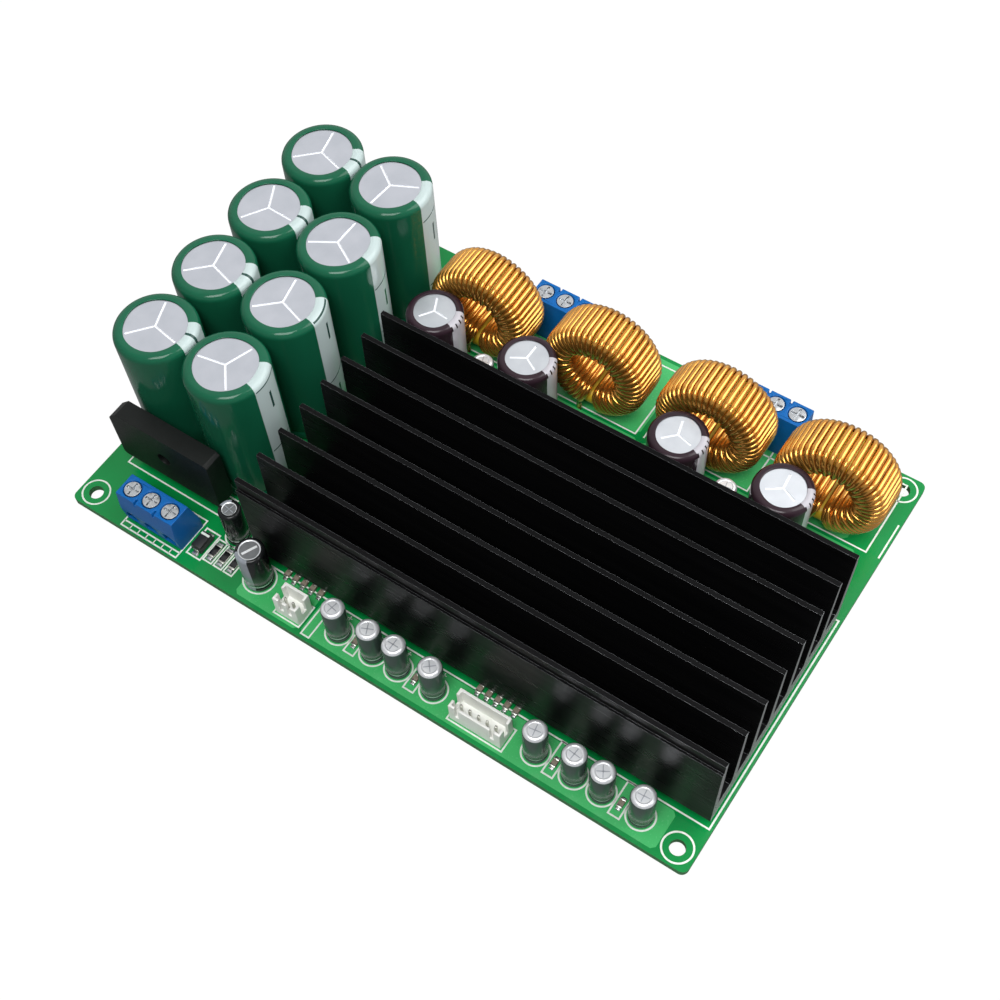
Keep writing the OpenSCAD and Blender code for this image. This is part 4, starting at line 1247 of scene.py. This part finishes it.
@dataclass(frozen=True)
class Ends:
    """Metal at both ends of a chip: each block with its distance from the middle, and the pads.

    A pad has its distance from the middle, half its width and half its depth.
    """

    blocks: tuple[tuple[float, Brick], ...]
    pad: Triple


@dataclass
class ChipParts:
    """Surface-mount parts left of the heatsink and along the front edge."""

    resistor_x: tuple[float, ...] = (35.2, 37.95, 40.7)
    resistor_y: float = 6.3
    resistor_body: Brick = Brick(0.78, 1.58, 0.02, 0.5, 0.04)
    resistor_glaze: Brick = Brick(0.74, 1.15, 0.4, 0.6, 0.05, paint=1)
    resistor_ends: Ends = Ends(((1.375, Brick(0.8, 0.225, 0.0, 0.58, 0.08, paint=2)),), (1.95, 0.8, 0.5))
    ceramic_rows: tuple[float, ...] = (56.0, 104.0)
    ceramic_y: float = 10.3
    row_count: int = 5
    row_step: float = 2.15
    ceramic_body: Brick = Brick(0.6, 0.95, 0.02, 0.87, 0.06)
    ceramic_ends: Ends = Ends(((0.775, Brick(0.625, 0.225, 0.0, 0.9, 0.09, paint=1)),), (1.2, 0.6, 0.35))
    diode_spot: Point = (31.9, 6.3)
    diode_lower: Brick = Brick(1.3, 2.15, 0.15, 1.05, 0.08)
    diode_upper: Brick = Brick(1.3, 2.15, 1.03, 2.1, 0.08, draw=0.16)
    diode_ends: Ends = Ends(
        (
            (2.2, Brick(0.75, 0.1, 0.0, 1.1, 0.05, paint=1)),
            (1.8, Brick(0.75, 0.5, 0.0, 0.16, 0.04, paint=1)),
        ),
        (2.65, 0.85, 0.45),
    )
    # The cathode band: half its width, its front and rear edges from the middle, and its height.
    band: Box = (1.05, 1.1, 1.65, 2.112)
    pad_top: float = 0.3
    pad_radius: float = 0.08
    pad_draw: float = 0.45
    pads: list[Box] = field(default_factory=list)

    def build(self) -> None:
        """Make resistors, ceramics and the diode, then the solder on their pads."""
        self.resistors()
        self.ceramics()
        self.diode()
        draft = Draft()
        for x, y, half_x, half_y in self.pads:
            draw = half_y * self.pad_draw
            Brick(half_x, half_y, 0.0, self.pad_top, self.pad_radius, draw=draw).add(draft, x, y)
        draft.place("soldered_pads", [SOLDER], Slot.SOLDER)

    def tin(self, draft: Draft, x: float, y: float, ends: Ends) -> None:
        """Add the metal at both ends of a chip and note its pads.

        Args:
            draft: Mesh of the chips.
            x: Middle of the chip.
            y: Middle of the chip.
            ends: Blocks and pad of one end.
        """
        off, half_x, half_y = ends.pad
        for way in (-1, 1):
            for reach, block in ends.blocks:
                block.add(draft, x, y + way * reach)
            self.pads.append((x, y + way * off, half_x, half_y))

    def resistors(self) -> None:
        """Alumina chips with a black glaze on top and tinned ends."""
        draft = Draft()
        y = self.resistor_y
        for x in self.resistor_x:
            self.resistor_body.add(draft, x, y)
            self.resistor_glaze.add(draft, x, y)
            self.tin(draft, x, y, self.resistor_ends)
        draft.place("resistor_chips", [ALUMINA, GLASS, TIN], Slot.CHIP_BLACK, ["chip_resistors"])

    def ceramics(self) -> None:
        """Tan ceramic chips with tinned ends."""
        draft = Draft()
        steps = [self.row_step * (i - self.row_count // 2) for i in range(self.row_count)]
        spots = [(x + step, self.ceramic_y) for x in self.ceramic_rows for step in steps]
        spots += [(x, LAYOUT.signal_y) for x in LAYOUT.front_ceramic_x]
        for x, y in spots:
            self.ceramic_body.add(draft, x, y)
            self.tin(draft, x, y, self.ceramic_ends)
        draft.place("ceramic_chips", [TITANATE, TIN], Slot.CHIP_TAN, ["chip_ceramics"])

    def diode(self) -> None:
        """Moulded body with a parting line, a cathode band and folded leads."""
        draft = Draft()
        x, y = self.diode_spot
        self.diode_lower.add(draft, x, y)
        self.diode_upper.add(draft, x, y)
        half, front, rear, top = self.band
        band = ((x - half, y + front), (x + half, y + front), (x + half, y + rear), (x - half, y + rear))
        draft.plate(band, top, 2)
        self.tin(draft, x, y, self.diode_ends)
        draft.place("diode_body", [DIODE, TIN, INK], Slot.CHIP_BLACK, ["diode"])


@dataclass
class Hardware:
    """CAD pieces that keep their shape and get their finish, with their edge radii."""

    poles: dict[str, int] = field(default_factory=lambda: {"ac": 3, "speaker": 8})
    housing_edge: float = 0.15
    header_edge: float = 0.12
    pad_edge: float = 0.1
    screw_edge: float = 0.08
    pin_edge: float = 0.06
    lead_edge: float = 0.05

    def build(self) -> None:
        """Dress heatsink, terminals, headers, bridge, chips and solder."""
        # The heatsink's bevelled edges wear a painted highlight in grey metal.
        dress("heatsink", ANODISE, self.housing_edge, EDGE_HIGHLIGHT_PAINT)
        dress("heatsink_screws", ZINC, self.screw_edge)
        dress("bridge_rectifier", BRIDGE, self.housing_edge)
        dress("solder_joints", SOLDER)
        for number in (1, 2):
            dress(f"amplifier_chip_{number}", CHIP, self.lead_edge)
            dress(f"thermal_pad_{number}", PAD, self.pad_edge)
            dress(f"speaker_terminal_{number}", BLUE, self.housing_edge)
        dress("ac_terminal", BLUE, self.housing_edge)
        dress("terminal_contacts", TIN, self.lead_edge)
        for kind, count in self.poles.items():
            for number in range(1, count + 1):
                dress(f"{kind}_screw_{number}", NICKEL, self.screw_edge)
                dress(f"{kind}_clamp_{number}", NICKEL, self.screw_edge)
        for kind in ("input", "fan"):
            dress(f"{kind}_header", IVORY, self.header_edge)
            dress(f"{kind}_pins", TIN, self.pin_edge)


@dataclass(frozen=True)
class Softbox:
    """A rectangular lamp, in metres and watts, that points at the middle of the board."""

    name: str
    spot: Triple
    size: Point
    power: float

    def hang(self) -> None:
        """Make the lamp and turn it to the board."""
        data = bpy.data.lights.new(self.name, "AREA")
        data.shape = "RECTANGLE"
        data.size, data.size_y = self.size
        data.energy = self.power
        lamp = bpy.data.objects.new(self.name, data)
        bpy.context.scene.collection.objects.link(lamp)
        lamp.location = self.spot
        lamp.rotation_euler = Vector(self.spot).to_track_quat("Z", "Y").to_euler()


@dataclass
class Stage:
    """Camera, lamps, white floor and white surroundings."""

    eye: Triple = (98.695, -129.549, 261.113)
    right: Triple = (0.8242, 0.5636, -0.0538)
    up: Triple = (-0.4719, 0.7363, 0.4849)
    back: Triple = (0.3129, -0.3743, 0.8729)
    sensor: float = 36.0
    lens: float = 51.51
    shift: Point = (0.0335, 0.0715)
    near: float = 0.01
    # One wide softbox behind and above, and a second one over the front edge.
    lamps: tuple[Softbox, ...] = (
        Softbox("softbox", (0.5, 0.46, 0.74), (0.75, 0.9), 8.6),
        Softbox("top_light", (0.12, -0.36, 0.98), (0.5, 0.5), 8.0),
    )
    floor_half: float = 3.0
    paper: str = "#B4B4B4"
    # Share of the floor's own white, and its strength, as the camera and as a mirror see it.
    glow_share: Point = (0.9, 0.75)
    glow_strength: Point = (1.08, 0.28)
    # Strength of the surroundings as light, and as mirrors show them at the front and at the rear.
    room_light: float = 0.15
    room_mirror: Point = (0.45, 1.0)
    room_turn: float = 0.25

    def build(self) -> None:
        """Set the view transform and make everything round the board."""
        bpy.context.scene.view_settings.view_transform = "Standard"
        self.camera()
        for lamp in self.lamps:
            lamp.hang()
        self.floor()
        self.world()

    def camera(self) -> None:
        """Stand the camera where the photograph was taken."""
        data = bpy.data.cameras.new("camera")
        data.sensor_width = self.sensor
        data.lens = self.lens
        data.shift_x, data.shift_y = self.shift
        data.clip_start = self.near
        camera = bpy.data.objects.new("camera", data)
        bpy.context.scene.collection.objects.link(camera)
        turn = Matrix((self.right, self.up, self.back)).transposed().to_4x4()
        camera.matrix_world = Matrix.Translation(Vector(self.eye) * MM) @ turn
        bpy.context.scene.camera = camera

    def floor(self) -> None:
        """Lay a floor that reads as white paper and keeps the board's shadow."""
        half = self.floor_half
        mesh = bpy.data.meshes.new("floor")
        corners = [(-half, -half, 0), (half, -half, 0), (half, half, 0), (-half, half, 0)]
        mesh.from_pydata(corners, [], [(0, 1, 2, 3)])
        made = bpy.data.materials.new("white_paper_floor")
        made.use_nodes = True
        tree = made.node_tree
        tree.nodes.clear()
        path = add_node(tree, "LightPath").node.outputs
        camera, glossy, through = (path[f"Is {ray} Ray"] for ray in ("Camera", "Glossy", "Transmission"))
        seen = add_node(tree, "Math", {0: camera, 1: through}, operation="MAXIMUM")
        seen = add_node(tree, "Math", {0: seen, 1: self.glow_share[0]}, operation="MULTIPLY")
        mirrored = add_node(tree, "Math", {0: glossy, 1: self.glow_share[1]}, operation="MULTIPLY")
        share = add_node(tree, "Math", {0: seen, 1: mirrored}, operation="MAXIMUM")
        paper = add_node(tree, "BsdfDiffuse", {"Color": linear(self.paper)})
        strength = {SHARE: glossy, NUMBER_A: self.glow_strength[0], NUMBER_B: self.glow_strength[1]}
        level = add_node(tree, "Mix", strength)
        glow = add_node(tree, "Emission", {"Strength": level})
        both = add_node(tree, "MixShader", {0: share, 1: paper, 2: glow})
        add_node(tree, "OutputMaterial", {"Surface": both})
        mesh.materials.append(made)
        floor = bpy.data.objects.new("floor", mesh)
        bpy.context.scene.collection.objects.link(floor)

    def world(self) -> None:
        """Surround the board with white that lights it faintly; mirrors show it, dimmer at the front."""
        world = bpy.data.worlds.new("surroundings")
        bpy.context.scene.world = world
        world.use_nodes = True
        tree = world.node_tree
        tree.nodes.clear()
        path = add_node(tree, "LightPath").node.outputs
        camera, glossy, through = (path[f"Is {ray} Ray"] for ray in ("Camera", "Glossy", "Transmission"))
        seen = add_node(tree, "Math", {0: camera, 1: glossy}, operation="MAXIMUM")
        seen = add_node(tree, "Math", {0: seen, 1: through}, operation="MAXIMUM")
        way = add_node(tree, "TexCoord", out="Generated")
        rear = add_node(tree, "SeparateXYZ", {0: way}, "Y")
        span = {"Value": rear, "From Min": -self.room_turn, "From Max": self.room_turn}
        span |= {"To Min": self.room_mirror[0], "To Max": self.room_mirror[1]}
        room = add_node(tree, "MapRange", span)
        room = add_node(tree, "Math", {0: room, 1: camera}, operation="MAXIMUM")
        strength = add_node(tree, "Mix", {SHARE: seen, NUMBER_A: self.room_light, NUMBER_B: room})
        sky = add_node(tree, "Background", {"Color": linear("#FFFFFF"), "Strength": strength})
        add_node(tree, "OutputWorld", {"Surface": sky})


def capacitors() -> list[CapacitorBank | SmallCapacitors]:
    """List the capacitors in the order in which they are built.

    Returns:
        One entry for each kind and place.
    """
    rows = [LAYOUT.filter_y + LAYOUT.filter_step * i for i in range(LAYOUT.filter_rows)]
    filters = CapacitorBank(
        name="filter_films",
        cans="filter_capacitors",
        stands_for="filter_sleeves",
        film=GREEN_FILM,
        can_finish=FILTER_CAN,
        slot=Slot.SLEEVE_GREEN,
        diameter=17.8,
        height=36.0,
        centres=[(x, y) for x in LAYOUT.filter_x for y in rows],
        turns=(14, 11, 10, 13, 12, 16, 18, 15),
        lip=2.3,
        edge=1.5,
        slips=(-6.9, -6.5, -7.2, -6.0, 0.0, -1.0, 7.5, 4.0),
    )
    rails = CapacitorBank(
        name="rail_films",
        cans="rail_capacitors",
        stands_for="rail_sleeves",
        film=BROWN_FILM,
        can_finish=RAIL_CAN,
        slot=Slot.SLEEVE_BROWN,
        diameter=12.5,
        height=20.5,
        centres=[(x, LAYOUT.rail_y) for x in LAYOUT.rail_x],
        turns=(5, 8, 3, 6),
        lip=1.7,
        edge=1.2,
    )
    signal = SmallCapacitors(
        name="signal",
        node="signal_capacitors",
        film=DARK_FILM,
        diameter=5.0,
        height=11.0,
        centres=[(x, LAYOUT.signal_y) for x in LAYOUT.signal_x],
        turns=(60, 95, 70, 110, 80, 65, 100, 75),
    )
    bypass = SmallCapacitors(
        name="bypass",
        node="bypass_capacitors",
        film=DARK_FILM,
        diameter=5.0,
        height=11.0,
        centres=[(x, LAYOUT.rail_y) for x in LAYOUT.bypass_x],
        turns=(90, 80),
    )
    supply_small = SmallCapacitors(
        name="supply_small",
        node="supply_capacitors",
        film=BLACK_FILM,
        diameter=5.0,
        height=11.0,
        centres=LAYOUT.supply[:1],
        turns=(150,),
        lip=0.9,
        end=LACQUER,
    )
    supply_large = SmallCapacitors(
        name="supply_large",
        node="supply_capacitors",
        film=BLACK_FILM,
        diameter=6.3,
        height=12.0,
        centres=LAYOUT.supply[1:],
        turns=(-101,),
        lip=0.8,
        score=0.55,
        score_ways=(165.0,),
        end=LACQUER,
        cut=FRESH_CUT,
    )
    return [filters, rails, signal, bypass, supply_small, supply_large]


def main() -> None:
    """Build the stage, then every sub-assembly in order."""
    logging.basicConfig(level=logging.INFO, format="%(message)s")
    Stage().build()
    Board().build()
    Hardware().build()
    for bank in capacitors():
        bank.build()
    for number, x in enumerate(LAYOUT.inductor_x, 1):
        Inductor(number, x).build()
    ChipParts().build()


if __name__ == "__main__":
    main()
